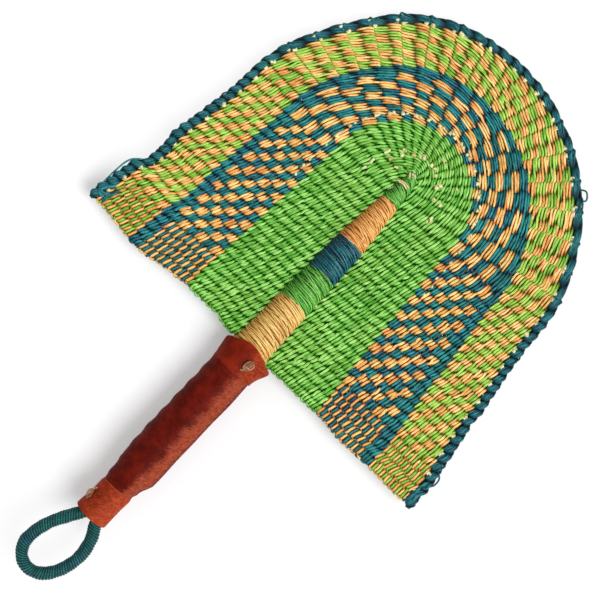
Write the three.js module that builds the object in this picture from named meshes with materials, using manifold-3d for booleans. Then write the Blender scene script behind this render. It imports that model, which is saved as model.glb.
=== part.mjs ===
// Woven hand fan: straw stakes branch out of a bundled handle and carry nested rows of twined straw.
// Millimetres, +Z up. The fan lies flat, its blade towards +Y and its hanging loop towards -Y.
// Inside this file y = 0 is the blade's straight edge and z = 0 is the middle of the weave.
// The finished group is moved so that its origin is under the middle of the fan, on the table.

import * as THREE from 'three';
import { mergeVertices } from 'three/addons/utils/BufferGeometryUtils.js';
import Module from 'manifold-3d';

const wasm = await Module();
wasm.setup();

// Fits
const clearance = 0.3;
const leatherThickness = 1.0;

// Blade: a row is a half circle above its centre, and two legs below it that ease out to a straight
// flare. From the checker band outwards the centre is at arcHeight. Rows inside it have their centres
// higher, up to fieldRise more, because they go round the rib's tip.
const arcHeight = 124;
const fieldRise = 17.5;
const riseFalloff = 1.3;
const fieldRadius = 47.7;
const checkerRadius = 87.4;
const bandRadius = 114;
const flare = 0.188;
const flareEase = 20;
const ridgeThickness = 4.2;
const valleyThickness = 3.0;

// The left shoulder of this handmade blade is drawn in by shoulderSlack, most at this angle
const shoulderSlack = 4.4;
const shoulderAngle = 57;
const shoulderSpread = 33;

// Rim: thickest at the two corners of the straight edge, and drawn in between the stakes
const rimWidth = 5.4;
const rimThickness = 6.0;
const rimSwell = 1.2;
const rimScallop = 0.86;
const rimSides = 8;

// Stakes: straws that leave the bundle and run under the rows out to the rim
const stakeRadius = 0.75;
const sideStakes = 20;
const firstStake = 2.4;
const stakePitch = (arcHeight - firstStake) / (sideStakes - 1);
const fanStep = 9;
const fanStakes = 9;
const tipStakes = 7;
const tipStakesAbove = 15.5;
const tipStep = 0.9;
const insertOffset = 2.9;

// Bundle: half widths and half heights of its twelve-sided section
const bundleEnd = -138;
const wristY = -117;
const gripLowY = -104;
const gripTopY = -20;
const neckY = -5;
const rootY = 4;
const shoulderBelow = 35;
const pointAbove = 22;
const wristHalf = 8.6;
const gripHalfWidth = 13.1;
const gripHalfHeight = 12.6;
const neckHalfWidth = 12.6;
const rootHalfWidth = 10.6;
const rootHalfHeight = 8.6;
const shoulderHalfWidth = 8.4;
const shoulderHalfHeight = 6.2;
const tipHalfWidth = 5.2;
const tipHalfHeight = 4.4;
const pointHalf = 2.2;
const pointRoom = 3.5;
const wristShift = -1.2;
const bundleSides = 12;

// Rib windings: five colours of straw strand, two turns between neighbouring stakes
const strandHalf = 0.67;
const turnsPerStake = 2;
const strawTurns = 12;
const greenTurns = 8;
const tealTurns = 8;
const orangeTurns = 10;
const tipTurns = 4;

// Leather
const sleeveTop = -2;
const topCollarLow = -17.4;
const collarEdgeY = -3.2;
const collarArch = 6.2;
const leftEar = 1.6;
const rightEar = 3.6;
const lowCollarTop = -119;
const lowCollarEnd = -143;

// Straw knots that stitch each collar down. A facet number's fraction is the place across the facet.
const topKnotY = -8.1;
const topKnotFacet = 2.78;
const lowKnotY = -131;
const lowKnotFacet = 5.5;
const knotLength = 8;
const knotWidth = 5;
const knotHeight = 2.2;
const knotShankRadius = 0.8;
const knotShankDepth = 1.6;

// Hanging loop: its cord bows to one side, and a strand is wound round it
const loopCordRadius = 2.8;
const loopStrandWidth = 2.3;
const loopStrandThickness = 0.8;
const loopTurns = 24;
const loopBareRoot = 4.2;
const loopCordSides = 8;
const loopCordSteps = 36;
const loopRoots = [-6.5, 4.2];
const loopRoute = [
  [-6.6, -3.6], [-10.8, -11], [-16.6, -22.5], [-19.2, -34], [-18.8, -42.5], [-13.8, -49.2],
  [-7, -51.2], [0.2, -48.4], [5.6, -41.8], [9, -33], [10.1, -23], [7.9, -11.5], [4.3, -3.6],
];

// Colours
const strawCream = 0xe0cd96;
const strawGreen = 0x5fb432;
const strawTeal = 0x0a5a5f;
const strawOrange = 0xf0a862;
const strawYellow = 0xe2b463;
const bandGreen = 0x9aae42;
const leatherBrown = 0x7a2318;
const leatherRed = 0x9c3820;
const knotStraw = 0xb08a5a;

const turn = 2 * Math.PI;
const shoulderY = arcHeight - shoulderBelow;
const pointY = arcHeight + pointAbove;
const arcCentre = new THREE.Vector2(0, arcHeight);

// Solids

function solid(geometry) {
  const bare = geometry.clone();
  bare.deleteAttribute('normal');
  bare.deleteAttribute('uv');
  const merged = mergeVertices(bare, 1e-4);
  const mesh = new wasm.Mesh({
    numProp: 3,
    vertProperties: new Float32Array(merged.attributes.position.array),
    triVerts: new Uint32Array(merged.index.array),
  });
  return new wasm.Manifold(mesh);
}

function geometryOf(body) {
  const mesh = body.getMesh();
  const geometry = new THREE.BufferGeometry();
  geometry.setAttribute('position', new THREE.BufferAttribute(mesh.vertProperties, 3));
  geometry.setIndex(new THREE.BufferAttribute(mesh.triVerts, 1));
  return geometry;
}

// Joins rings of points into one closed skin. Each ring has the same number of points. A skin is
// capped at both ends, or closed on itself when the last ring meets the first one again.
function skin(rings, closed = false) {
  const size = rings[0].length;
  const positions = rings.flat().flatMap((p) => [p.x, p.y, p.z]);
  const index = [];
  const spans = closed ? rings.length : rings.length - 1;
  for (let i = 0; i < spans; i += 1) {
    const here = i * size;
    const next = ((i + 1) % rings.length) * size;
    for (let j = 0; j < size; j += 1) {
      const k = (j + 1) % size;
      index.push(here + j, here + k, next + k, here + j, next + k, next + j);
    }
  }
  if (!closed) {
    const last = (rings.length - 1) * size;
    for (let j = 1; j < size - 1; j += 1) {
      index.push(0, j + 1, j, last, last + j, last + j + 1);
    }
  }
  const geometry = new THREE.BufferGeometry();
  geometry.setAttribute('position', new THREE.Float32BufferAttribute(positions, 3));
  geometry.setIndex(index);
  return geometry;
}

// A straight four-sided straw between two points of the weave's middle plane.
function straw(from, to, radius) {
  const along = new THREE.Vector2().subVectors(to, from);
  const geometry = new THREE.CylinderGeometry(radius, radius, along.length(), 4, 1);
  geometry.rotateZ(Math.atan2(along.y, along.x) - Math.PI / 2);
  geometry.translate((from.x + to.x) / 2, (from.y + to.y) / 2, 0);
  return solid(geometry);
}

// A tube along a run of points. Each point has an outward direction, and the section is given as
// pairs of shares: along that outward direction, and along the line square to it and to the run.
function tube(points, outwards, section, scale = () => 1) {
  const rings = points.map((point, i) => {
    const before = points[Math.max(i - 1, 0)];
    const after = points[Math.min(i + 1, points.length - 1)];
    const run = new THREE.Vector3().subVectors(after, before).normalize();
    const out = outwards[i].clone().addScaledVector(run, -outwards[i].dot(run)).normalize();
    const side = new THREE.Vector3().crossVectors(run, out);
    return section.map(([a, b]) => point.clone()
      .addScaledVector(out, a * scale(i))
      .addScaledVector(side, b * scale(i)));
  });
  return skin(rings);
}

function regularSection(sides, radius) {
  const corners = Array.from({ length: sides }, (_, i) => ((i + 0.5) * turn) / sides);
  return corners.map((angle) => [radius * Math.cos(angle), radius * Math.sin(angle)]);
}

// The least gap that a wound strand leaves to itself, measured on the points of its middle line.
function leastGap(points, stepsPerTurn, width) {
  let least = Infinity;
  for (let i = 0; i < points.length; i += 1) {
    for (let j = i + Math.ceil(stepsPerTurn * 0.6); j < points.length; j += 1) {
      least = Math.min(least, points[i].distanceTo(points[j]));
    }
  }
  return least - width;
}

// The bundle's section

const stations = [
  [bundleEnd, wristHalf, wristHalf, wristShift],
  [wristY, wristHalf, wristHalf, wristShift / 2],
  [gripLowY, gripHalfWidth, gripHalfHeight, 0],
  [gripTopY, gripHalfWidth, gripHalfHeight, 0],
  [neckY, neckHalfWidth, gripHalfHeight, 0],
  [rootY, rootHalfWidth, rootHalfHeight, 0],
  [shoulderY, shoulderHalfWidth, shoulderHalfHeight, 0],
  [arcHeight, tipHalfWidth, tipHalfHeight, 0],
  [pointY, pointHalf, pointHalf, 0],
];

function sectionAt(y) {
  const clamped = THREE.MathUtils.clamp(y, bundleEnd, pointY);
  const after = Math.max(1, stations.findIndex(([at]) => at >= clamped));
  const [y0, ...low] = stations[after - 1];
  const [y1, ...high] = stations[after];
  const share = (clamped - y0) / (y1 - y0);
  const [width, height, shift] = low.map((value, i) => value + (high[i] - value) * share);
  return { width, height, shift };
}

function bundleAngle(i) {
  return ((i + 0.5) * turn) / bundleSides;
}

function bundlePoint(y, angle, offset) {
  const { width, height, shift } = sectionAt(y);
  const x = shift + (width + offset) * Math.cos(angle);
  return new THREE.Vector3(x, y, (height + offset) * Math.sin(angle));
}

function bundleRing(y, offset) {
  return Array.from({ length: bundleSides }, (_, i) => bundlePoint(y, bundleAngle(i), offset));
}

function stationsBetween(low, high) {
  const inside = stations.map(([y]) => y).filter((y) => y > low + 1 && y < high - 1);
  return [low, ...inside, high];
}

// A leather tube round the bundle, open at both ends. The wall is one closed ring of rings.
function leatherTube(low, high, offset, shape = (p) => p) {
  const heights = stationsBetween(low, high);
  const wall = (y, depth) => Array.from({ length: bundleSides }, (_, i) => {
    const angle = bundleAngle(i);
    return shape(bundlePoint(y, angle, offset + depth), angle, y, depth);
  });
  const inner = heights.map((y) => wall(y, 0));
  const outer = heights.map((y) => wall(y, leatherThickness)).reverse();
  return skin([...inner, ...outer], true);
}

// Rows of the weave

function rowCentre(radius) {
  const inside = Math.max(0, 1 - radius / checkerRadius);
  return arcHeight + fieldRise * inside ** riseFalloff;
}

// How far a row is drawn in on the left shoulder, in a direction from its centre.
function slack(radius, across, up) {
  const angle = THREE.MathUtils.radToDeg(Math.atan2(-across, up));
  const away = THREE.MathUtils.clamp((angle - shoulderAngle) / shoulderSpread, -1, 1);
  const outwards = Math.min(1, radius / bandRadius) ** 2;
  return shoulderSlack * outwards * Math.cos((away * Math.PI) / 2) ** 2;
}

// How far a point lies outside a row of the given radius: negative inside the row.
function beyondRow(point, radius) {
  const up = point.y - rowCentre(radius);
  if (up >= 0) {
    return Math.hypot(point.x, up) - radius + slack(radius, point.x, up);
  }
  const spread = (flare * radius * up * up) / (bandRadius * (flareEase - up));
  return Math.abs(point.x) - radius - spread;
}

const strandSeat = strandHalf + clearance;
const strandDepth = strandSeat + strandHalf;
const ribTipReach = pointY - arcHeight + pointRoom;

// How far a point lies outside the wound rib, which ends in half an ellipse round the bundle's tip.
function beyondRib(point) {
  if (point.y <= arcHeight) {
    return Math.abs(point.x) - sectionAt(point.y).width - strandDepth - clearance;
  }
  const width = tipHalfWidth + strandDepth + clearance;
  return Math.hypot(point.x / width, (point.y - arcHeight) / ribTipReach) - 1;
}

// The point where a ray from inside first leaves a boundary, found by halving the interval.
function crossing(ray, beyond) {
  const at = (share) => new THREE.Vector2().lerpVectors(ray.from, ray.to, share);
  let low = 0;
  let high = 3;
  for (let i = 0; i < 50; i += 1) {
    const middle = (low + high) / 2;
    if (beyond(at(middle)) > 0) {
      high = middle;
    } else {
      low = middle;
    }
  }
  return at(high);
}

function onArc(radius, degrees) {
  const angle = THREE.MathUtils.degToRad(degrees);
  return new THREE.Vector2(radius * Math.sin(angle), radius * Math.cos(angle)).add(arcCentre);
}

function between(a, b) {
  return {
    from: new THREE.Vector2().lerpVectors(a.from, b.from, 0.5),
    to: new THREE.Vector2().lerpVectors(a.to, b.to, 0.5),
    ridge: false,
  };
}

function mirrored(ray) {
  const flip = ({ x, y }) => new THREE.Vector2(-x, y);
  return { ...ray, from: flip(ray.from), to: flip(ray.to) };
}

// A stake on the right of the rib: level ones up to arcHeight, then a fan from the bundle's tip.
const fanRadius = (fieldRadius + bandRadius) / 2;

function levelStake(y) {
  return { from: new THREE.Vector2(0, y), to: new THREE.Vector2(fanRadius, y), ridge: true };
}

function fannedStake(number) {
  const onRib = arcHeight + (fanStakes + 1 - number) * stakePitch;
  const onTip = arcHeight + tipStakesAbove + (tipStakes - number) * tipStep;
  const y = number > tipStakes ? onRib : onTip;
  return { from: new THREE.Vector2(0, y), to: onArc(fanRadius, number * fanStep), ridge: true };
}

const stakeHeights = Array.from({ length: sideStakes }, (_, k) => firstStake + k * stakePitch);
const levelStakes = stakeHeights.map(levelStake);
const fanned = Array.from({ length: fanStakes + 1 }, (_, number) => fannedStake(number)).reverse();
const rightStakes = [...levelStakes, ...fanned];

// Short stakes join at the edge of the plain field, beside each fanned stake, and part from it.
function shortStake(main, number) {
  const away = new THREE.Vector2(main.to.y - main.from.y, main.from.x - main.to.x);
  const step = away.setLength(insertOffset);
  const beside = { from: main.from.clone().add(step), to: main.to.clone().add(step) };
  return {
    from: crossing(beside, (p) => beyondRow(p, fieldRadius + 3 * clearance)),
    to: onArc(bandRadius, (number + 0.5) * fanStep),
    ridge: true,
  };
}

const shortStakes = fanned.map((main, i) => shortStake(main, fanStakes - i));
const edgeRay = { ...levelStake(0), ridge: false };

// Rays across the right half of a band, from the straight edge to the crown. The crown's own stake
// is the last one. Short stakes take their turn between the fanned ones in the outer band.
function raysAcross(withShort) {
  const stakes = [...levelStakes];
  fanned.forEach((main, i) => {
    if (withShort) {
      stakes.push(shortStakes[i]);
    }
    stakes.push(main);
  });
  const rays = [edgeRay];
  stakes.forEach((stake, i) => {
    if (i > 0) {
      rays.push(between(stakes[i - 1], stake));
    }
    rays.push(stake);
  });
  const left = rays.slice(0, -1).map(mirrored).reverse();
  return [...rays, ...left];
}

// A band of woven rows between two boundaries, ridged over every stake.
function wovenBand(rays, beyondInner, beyondOuter) {
  const rings = rays.map((ray) => {
    const half = (ray.ridge ? ridgeThickness : valleyThickness) / 2;
    const inner = crossing(ray, beyondInner);
    const outer = crossing(ray, beyondOuter);
    return [
      new THREE.Vector3(inner.x, inner.y, half),
      new THREE.Vector3(outer.x, outer.y, half),
      new THREE.Vector3(outer.x, outer.y, -half),
      new THREE.Vector3(inner.x, inner.y, -half),
    ];
  });
  return solid(skin(rings));
}

// Where each stake starts and ends: long ones in the bundle's middle, all of them short of the rim.
const stakeEnd = (ray) => crossing(ray, (p) => beyondRow(p, bandRadius - clearance));
const bothSides = (rays) => [...rays, ...rays.map(mirrored)];
const fanBothSides = [...fanned, ...fanned.slice(0, -1).map(mirrored)];
const levelRuns = levelStakes.map((ray) => [stakeEnd(mirrored(ray)), stakeEnd(ray)]);
const fanRuns = fanBothSides.map((ray) => [ray.from, stakeEnd(ray)]);
const shortRuns = bothSides(shortStakes).map((ray) => [ray.from, stakeEnd(ray)]);

// The channel that a stake runs in, a little wider than the stake and open past both of its ends.
function channel([from, to]) {
  const along = new THREE.Vector2().subVectors(to, from).setLength(ridgeThickness / 2);
  const wide = stakeRadius + clearance * Math.SQRT2;
  return straw(from.clone().sub(along), to.clone().add(along), wide);
}

const longChannels = [...levelRuns, ...fanRuns].map(channel);
const shortChannels = shortRuns.map(channel);

function threaded(band, channels) {
  return geometryOf(channels.reduce((rest, hole) => rest.subtract(hole), band));
}

const mainRays = raysAcross(false);
const allRays = raysAcross(true);
const row = (radius) => (p) => beyondRow(p, radius);
const field = wovenBand(mainRays, beyondRib, row(fieldRadius));
const checker = wovenBand(mainRays, row(fieldRadius + clearance), row(checkerRadius));
const band = wovenBand(allRays, row(checkerRadius + clearance), row(bandRadius));
const fieldGeometry = threaded(field, longChannels);
const checkerGeometry = threaded(checker, [...longChannels, ...shortChannels]);
const bandGeometry = threaded(band, [...longChannels, ...shortChannels]);

// The rim: a thick roll that lies against the outer row all the way round.
function rimRoll() {
  const half = (allRays.length - 1) / 2;
  const sizes = allRays.map((ray, i) => {
    const aside = Math.abs(i - half) / half;
    const swell = 1 + (rimSwell - 1) * aside;
    return ray.ridge || aside === 1 ? swell : swell * rimScallop;
  });
  const points = allRays.map((ray, i) => {
    const middle = bandRadius + clearance + (rimWidth * sizes[i]) / 2;
    const { x, y } = crossing(ray, row(middle));
    return new THREE.Vector3(x, y, 0);
  });
  const outwards = points.map(({ x, y }) => new THREE.Vector3(x, Math.max(y - arcHeight, 0), 0));
  const corner = Math.cos(Math.PI / rimSides);
  const section = regularSection(rimSides, 1).map(([a, b]) => [
    ((a / corner) * rimWidth) / 2,
    ((b / corner) * rimThickness) / 2,
  ]);
  return tube(points, outwards, section, (i) => sizes[i]);
}

// The bundle with the long stakes that branch out of it.
function bundle() {
  const rings = stations.map(([y]) => bundleRing(y, 0)).reverse();
  const core = solid(skin(rings));
  return [...levelRuns, ...fanRuns]
    .map(([from, to]) => straw(from, to, stakeRadius))
    .reduce((whole, stake) => whole.add(stake), core);
}

// Rib windings

// The heights at which the strand crosses the front of the rib: evenly spaced between the stakes.
const slotHeights = [];
for (let k = 0; k < sideStakes + 2; k += 1) {
  for (let n = 1; n <= turnsPerStake; n += 1) {
    slotHeights.push(stakeHeights[0] + (k + n / (turnsPerStake + 1)) * stakePitch);
  }
}

const strandSection = [[1, -1], [1, 1], [-1, 1], [-1, -1]].map(([a, b]) => [
  a * strandHalf,
  b * strandHalf,
]);

// One strand: level over the front, and slanting to the next slot across the back. It stops one
// step short of a whole number of turns, so that the next colour starts clear of it.
function winding(first, turns) {
  const points = [];
  const outwards = [];
  const steps = turns * bundleSides - 1;
  for (let i = 0; i <= steps - 1; i += 1) {
    const number = first + Math.floor(i / bundleSides);
    const inTurn = i % bundleSides;
    const slant = Math.max(0, (inTurn - bundleSides / 2 + 1) / (bundleSides / 2));
    const here = slotHeights[number];
    const next = slotHeights[Math.min(number + 1, slotHeights.length - 1)];
    const y = here + (next - here) * slant;
    const angle = bundleAngle(inTurn);
    points.push(bundlePoint(y, angle, strandSeat));
    const { width, height } = sectionAt(y);
    outwards.push(new THREE.Vector3(Math.cos(angle) / width, 0, Math.sin(angle) / height));
  }
  const gap = leastGap(points, bundleSides, 2 * strandHalf);
  return { geometry: tube(points, outwards, strandSection), gap };
}

// Leather

const sleeveOffset = clearance;
const collarOffset = 2 * clearance + leatherThickness;

function sleeveTube() {
  return leatherTube(bundleEnd, sleeveTop, sleeveOffset);
}

// The top collar arches over the front and back of the rib, and its corners flare out as ears.
function topCollarTube() {
  const middle = (topCollarLow + collarEdgeY) / 2;
  const shape = (point, angle, y, depth) => {
    if (y < middle) {
      return point;
    }
    const side = Math.max(0, Math.abs(Math.cos(angle)) - Math.cos(Math.PI / 4)) * depth;
    const ear = (Math.cos(angle) > 0 ? rightEar : -leftEar) * side * 4;
    return new THREE.Vector3(point.x + ear, y + collarArch * Math.sin(angle) ** 2, point.z);
  };
  return leatherTube(topCollarLow, collarEdgeY, collarOffset, shape);
}

function lowCollarTube() {
  return leatherTube(lowCollarEnd, lowCollarTop, collarOffset);
}

// A knot of straw on the leather, with the tail of its stitch going through into the bundle.
function knotPlace(y, angleShare) {
  const facet = Math.floor(angleShare);
  const corners = [bundleAngle(facet - 1), bundleAngle(facet)];
  const [a, b] = corners.map((angle) => bundlePoint(y, angle, collarOffset + leatherThickness));
  const seat = new THREE.Vector3().lerpVectors(a, b, angleShare - facet);
  const across = new THREE.Vector3().subVectors(b, a).normalize();
  const out = new THREE.Vector3(across.z, 0, -across.x);
  const along = new THREE.Vector3().crossVectors(out, across);
  const turned = new THREE.Matrix4().makeBasis(across, along, out);
  return turned.setPosition(seat);
}

function knotHole(place, radius) {
  const reach = collarOffset + leatherThickness + knotShankDepth + knotHeight / 2;
  const shank = new THREE.CylinderGeometry(radius, radius, reach, 6, 1);
  shank.rotateX(Math.PI / 2);
  shank.translate(0, 0, knotHeight / 2 - reach / 2);
  shank.applyMatrix4(place);
  return solid(shank);
}

function knot(place) {
  const lump = new THREE.SphereGeometry(1, 8, 6);
  lump.scale(knotWidth / 2, knotLength / 2, knotHeight);
  lump.translate(0, 0, clearance);
  const under = new THREE.BoxGeometry(knotLength * 2, knotLength * 2, knotLength);
  under.translate(0, 0, clearance - knotLength / 2);
  const dome = solid(lump).subtract(solid(under));
  const placed = geometryOf(dome);
  placed.applyMatrix4(place);
  return solid(placed).add(knotHole(place, knotShankRadius));
}

const topKnotPlace = knotPlace(topKnotY, topKnotFacet);
const lowKnotPlace = knotPlace(lowKnotY, lowKnotFacet);
const holeRadius = knotShankRadius + clearance / Math.cos(Math.PI / 6);
const knotHoles = [topKnotPlace, lowKnotPlace].map((place) => knotHole(place, holeRadius));

function stitched(body) {
  return geometryOf(knotHoles.reduce((rest, hole) => rest.subtract(hole), body));
}

// The hanging loop

const loopAxisY = bundleEnd - clearance - loopCordRadius;
const loopPoints = [
  [loopRoots[0], loopAxisY],
  ...loopRoute.map(([x, below]) => [x, loopAxisY + below]),
  [loopRoots[1], loopAxisY],
].map(([x, y]) => new THREE.Vector3(x, y, 0));
const loopCurve = new THREE.CatmullRomCurve3(loopPoints, false, 'centripetal');
const upwards = new THREE.Vector3(0, 0, 1);

function loopSide(share) {
  return new THREE.Vector3().crossVectors(loopCurve.getTangentAt(share), upwards).normalize();
}

// The cord ends in two round heads that turn in the mouth of the lower collar.
function loopCord() {
  const shares = Array.from({ length: loopCordSteps + 1 }, (_, i) => i / loopCordSteps);
  const points = shares.map((share) => loopCurve.getPointAt(share));
  const head = (angle) => new THREE.Vector3(0, loopCordRadius * Math.sin(angle), 0);
  const rounding = [Math.PI / 4, Math.PI / 2.2];
  const startHead = rounding.map((angle) => points[0].clone().add(head(angle))).reverse();
  const endHead = rounding.map((angle) => points.at(-1).clone().add(head(angle)));
  const radii = rounding.map(Math.cos);
  const scales = [...radii.slice().reverse(), ...shares.map(() => 1), ...radii];
  const outwards = [...startHead.map(() => 0), ...shares, ...endHead.map(() => 1)].map(loopSide);
  const section = regularSection(loopCordSides, loopCordRadius);
  return tube([...startHead, ...points, ...endHead], outwards, section, (i) => scales[i]);
}

function loopStrand() {
  const steps = loopTurns * loopCordSides;
  const margin = loopBareRoot / loopCurve.getLength();
  const lift = loopCordRadius + clearance + loopStrandThickness / 2;
  const points = [];
  const outwards = [];
  for (let i = 0; i <= steps; i += 1) {
    const share = margin + ((1 - 2 * margin) * i) / steps;
    const angle = ((i + 0.5) * turn) / loopCordSides;
    const out = loopSide(share).multiplyScalar(Math.cos(angle)).addScaledVector(upwards, Math.sin(angle));
    points.push(loopCurve.getPointAt(share).addScaledVector(out, lift));
    outwards.push(out);
  }
  const section = strandSection.map(([a, b]) => [
    (Math.sign(a) * loopStrandThickness) / 2,
    (Math.sign(b) * loopStrandWidth) / 2,
  ]);
  const gap = leastGap(points, loopCordSides, loopStrandWidth);
  return { geometry: tube(points, outwards, section), gap };
}

// The assembly

const fan = new THREE.Group();
const bladeTop = arcHeight + bandRadius + clearance + rimWidth;
const facetShare = Math.cos(Math.PI / bundleSides);
const lowest = (gripHalfHeight + collarOffset + leatherThickness) * facetShare;
fan.position.set(0, -(bladeTop + lowCollarEnd) / 2, lowest);

function place(name, geometry, color, roughness) {
  const material = new THREE.MeshStandardMaterial({ color, roughness, metalness: 0 });
  const mesh = new THREE.Mesh(geometry, material);
  mesh.name = name;
  fan.add(mesh);
}

const strawRoughness = 0.6;
const leatherRoughness = 0.5;

place('handle_bundle', stitched(bundle()), strawCream, strawRoughness);
place('green_field', fieldGeometry, strawGreen, strawRoughness);
place('checker_band', checkerGeometry, strawTeal, strawRoughness);
place('outer_band', bandGeometry, bandGreen, strawRoughness);
place('rim_braid', rimRoll(), strawTeal, strawRoughness);

shortRuns.forEach(([from, to], i) => {
  const name = `short_stake_${String(i + 1).padStart(2, '0')}`;
  place(name, geometryOf(straw(from, to, stakeRadius)), strawCream, strawRoughness);
});

const ribColours = [
  ['straw_winding', strawTurns, strawYellow],
  ['green_winding', greenTurns, strawGreen],
  ['teal_winding', tealTurns, strawTeal],
  ['orange_winding', orangeTurns, strawOrange],
  ['tip_winding', tipTurns, strawGreen],
];
let firstSlot = 0;
ribColours.forEach(([name, turns, color]) => {
  const { geometry, gap } = winding(firstSlot, turns);
  console.log(`${name}: ${turns} turns, least gap to itself ${gap.toFixed(2)} mm`);
  place(name, geometry, color, strawRoughness);
  firstSlot += turns;
});

place('leather_sleeve', stitched(solid(sleeveTube())), leatherBrown, leatherRoughness);
place('top_collar', stitched(solid(topCollarTube())), leatherRed, leatherRoughness);
place('lower_collar', stitched(solid(lowCollarTube())), leatherRed, leatherRoughness);
place('top_knot', geometryOf(knot(topKnotPlace)), knotStraw, strawRoughness);
place('lower_knot', geometryOf(knot(lowKnotPlace)), knotStraw, strawRoughness);

place('loop_cord', loopCord(), strawCream, strawRoughness);
const wrap = loopStrand();
console.log(`loop_winding: ${loopTurns} turns, least gap to itself ${wrap.gap.toFixed(2)} mm`);
console.log(`loop cord length ${loopCurve.getLength().toFixed(1)} mm between its two heads`);
place('loop_winding', wrap.geometry, strawTeal, strawRoughness);

export default fan;
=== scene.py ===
# %% [markdown]
# # A woven hand fan
# The fan is twined from dyed straw. A bundle of straws is its handle and runs up the blade as a rib.
# Straws leave the rib on both sides as stakes, and rows of two strands each are twined over them. The
# solid model gives every piece its size and place. This lesson gives each piece its visible form: every
# strand of every row is a tube of its own, worked out with numpy on a grid of path steps and corners.

import bpy
import numpy as np
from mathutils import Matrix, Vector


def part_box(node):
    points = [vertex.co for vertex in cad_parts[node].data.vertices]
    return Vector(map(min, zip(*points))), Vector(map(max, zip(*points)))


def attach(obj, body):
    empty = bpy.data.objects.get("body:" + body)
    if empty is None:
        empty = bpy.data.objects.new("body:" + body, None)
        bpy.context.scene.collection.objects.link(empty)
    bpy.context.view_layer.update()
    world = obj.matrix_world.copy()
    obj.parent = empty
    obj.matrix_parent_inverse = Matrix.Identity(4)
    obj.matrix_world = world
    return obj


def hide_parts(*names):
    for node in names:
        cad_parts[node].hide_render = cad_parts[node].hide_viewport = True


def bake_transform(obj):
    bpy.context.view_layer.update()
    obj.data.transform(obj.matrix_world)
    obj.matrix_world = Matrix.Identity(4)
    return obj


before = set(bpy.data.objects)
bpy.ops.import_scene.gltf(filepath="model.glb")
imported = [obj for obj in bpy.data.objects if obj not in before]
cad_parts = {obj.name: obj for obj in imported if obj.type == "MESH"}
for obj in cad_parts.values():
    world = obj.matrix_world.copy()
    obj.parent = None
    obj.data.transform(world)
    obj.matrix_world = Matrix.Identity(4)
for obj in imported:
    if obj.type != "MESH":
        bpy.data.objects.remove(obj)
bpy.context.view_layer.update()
MM = 0.001
band_low, band_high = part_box("outer_band")
EDGE_Y = band_low.y / MM
MIDDLE_Z = (band_low.z + band_high.z) / 2 / MM
FRAME_SHIFT = np.array([0.0, EDGE_Y, MIDDLE_Z])
randoms = np.random.default_rng(11)
print("straight edge at y", round(EDGE_Y, 2), "mm, weave's middle at z", round(MIDDLE_Z, 2), "mm")


def on_frame(points):
    """Millimetres from the middle of the straight edge become metres of the frame."""
    return (np.asarray(points, dtype=float) + FRAME_SHIFT) * MM


# %% [markdown]
# The photograph looks straight down on the fan, which lies turned on the table. The camera therefore
# looks down and is turned by the same angle, so that the frame keeps its own axes. It stands far off,
# because the photograph shows no perspective.

# %% Camera
VIEW_TURN = np.radians(43.4)
VIEW_CENTRE = (1.2, 43.0)
VIEW_WIDTH = 372.0
VIEW_DISTANCE = 1200.0
SENSOR = 36.0

lens = bpy.data.cameras.new("camera")
lens.sensor_width = SENSOR
lens.lens = SENSOR * VIEW_DISTANCE / VIEW_WIDTH
lens.clip_end = 10
camera = bpy.data.objects.new("camera", lens)
camera.location = on_frame((*VIEW_CENTRE, VIEW_DISTANCE))
camera.rotation_euler = (0, 0, VIEW_TURN)
bpy.context.scene.collection.objects.link(camera)
bpy.context.scene.camera = camera
bpy.context.scene.view_settings.view_transform = "Standard"
print("camera lens", round(lens.lens, 1), "mm")

# %% [markdown]
# Nearly everything on this fan is a tube: a section carried along a path. Sections are ovals, or the
# shape of a straw folded double, with a groove along its middle. Paths and sections are numpy grids, so
# many tubes are swept at once.

# %% Sections along paths
UP = np.array([0.0, 0.0, 1.0])


def unit(vectors):
    return vectors / np.maximum(np.linalg.norm(vectors, axis=-1, keepdims=True), 1e-12)


def dot(a, b):
    return (a * b).sum(axis=-1, keepdims=True)


def smooth(values):
    """0 below 0, 1 above 1, and an S curve between them."""
    share = np.clip(values, 0, 1)
    return share * share * (3 - 2 * share)


def oval(sides):
    """Corners of a unit circle, which half width and half thickness stretch to an oval section."""
    turn = 2 * np.pi * (np.arange(sides) + 0.5) / sides
    return np.stack([np.cos(turn), np.sin(turn)], axis=-1)


DOUBLED = np.array([
    (1, 0), (0.5, 1), (0, 0.75), (-0.5, 1), (-1, 0), (-0.5, -1), (0, -0.75), (0.5, -1),
])


def sweep(path, out, half_width, half_thickness, section):
    """Rings of a section along each path[tube, step].

    The section's second axis points out, made square to the path. Its first axis lies across both. A
    half width can also be given for every corner of the section.
    """
    tangent = unit(np.gradient(path, axis=1))
    lifted = unit(out - dot(out, tangent) * tangent)
    across = np.cross(lifted, tangent)
    shape = path.shape[:2]
    if np.ndim(half_width) < 3:
        half_width = np.broadcast_to(half_width, shape)[..., None]
    wide = half_width * section[:, 0]
    thick = np.broadcast_to(half_thickness, shape)[..., None] * section[:, 1]
    offset = across[:, :, None] * wide[..., None] + lifted[:, :, None] * thick[..., None]
    return path[:, :, None] + offset


def crowned(lift, section):
    """Lift round the section: whole on its crowns, low at its edges and in its groove, where shade is
    painted.
    """
    return np.asarray(lift)[..., None] * (0.2 + 0.8 * np.abs(section[:, 1]))


print("section of a doubled straw:", len(DOUBLED), "corners, groove down to", np.abs(DOUBLED[2, 1]))

# %% [markdown]
# One helper turns the grid of rings into closed meshes. It also writes a UV map in millimetres, u round the
# tube and v along it, so that fibres can follow each strand, and two values per point: shade, which is the
# strand's own tone, and lift, which says how far the strand stands out of the weave. The straw finish paints
# shade where lift is low and highlights where it is high. Another helper joins sets of tubes to one piece,
# which rides on its body and stands for its pieces of the solid model.

# %% Tubes and pieces
FIBRE_SHIFT = 90


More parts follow.
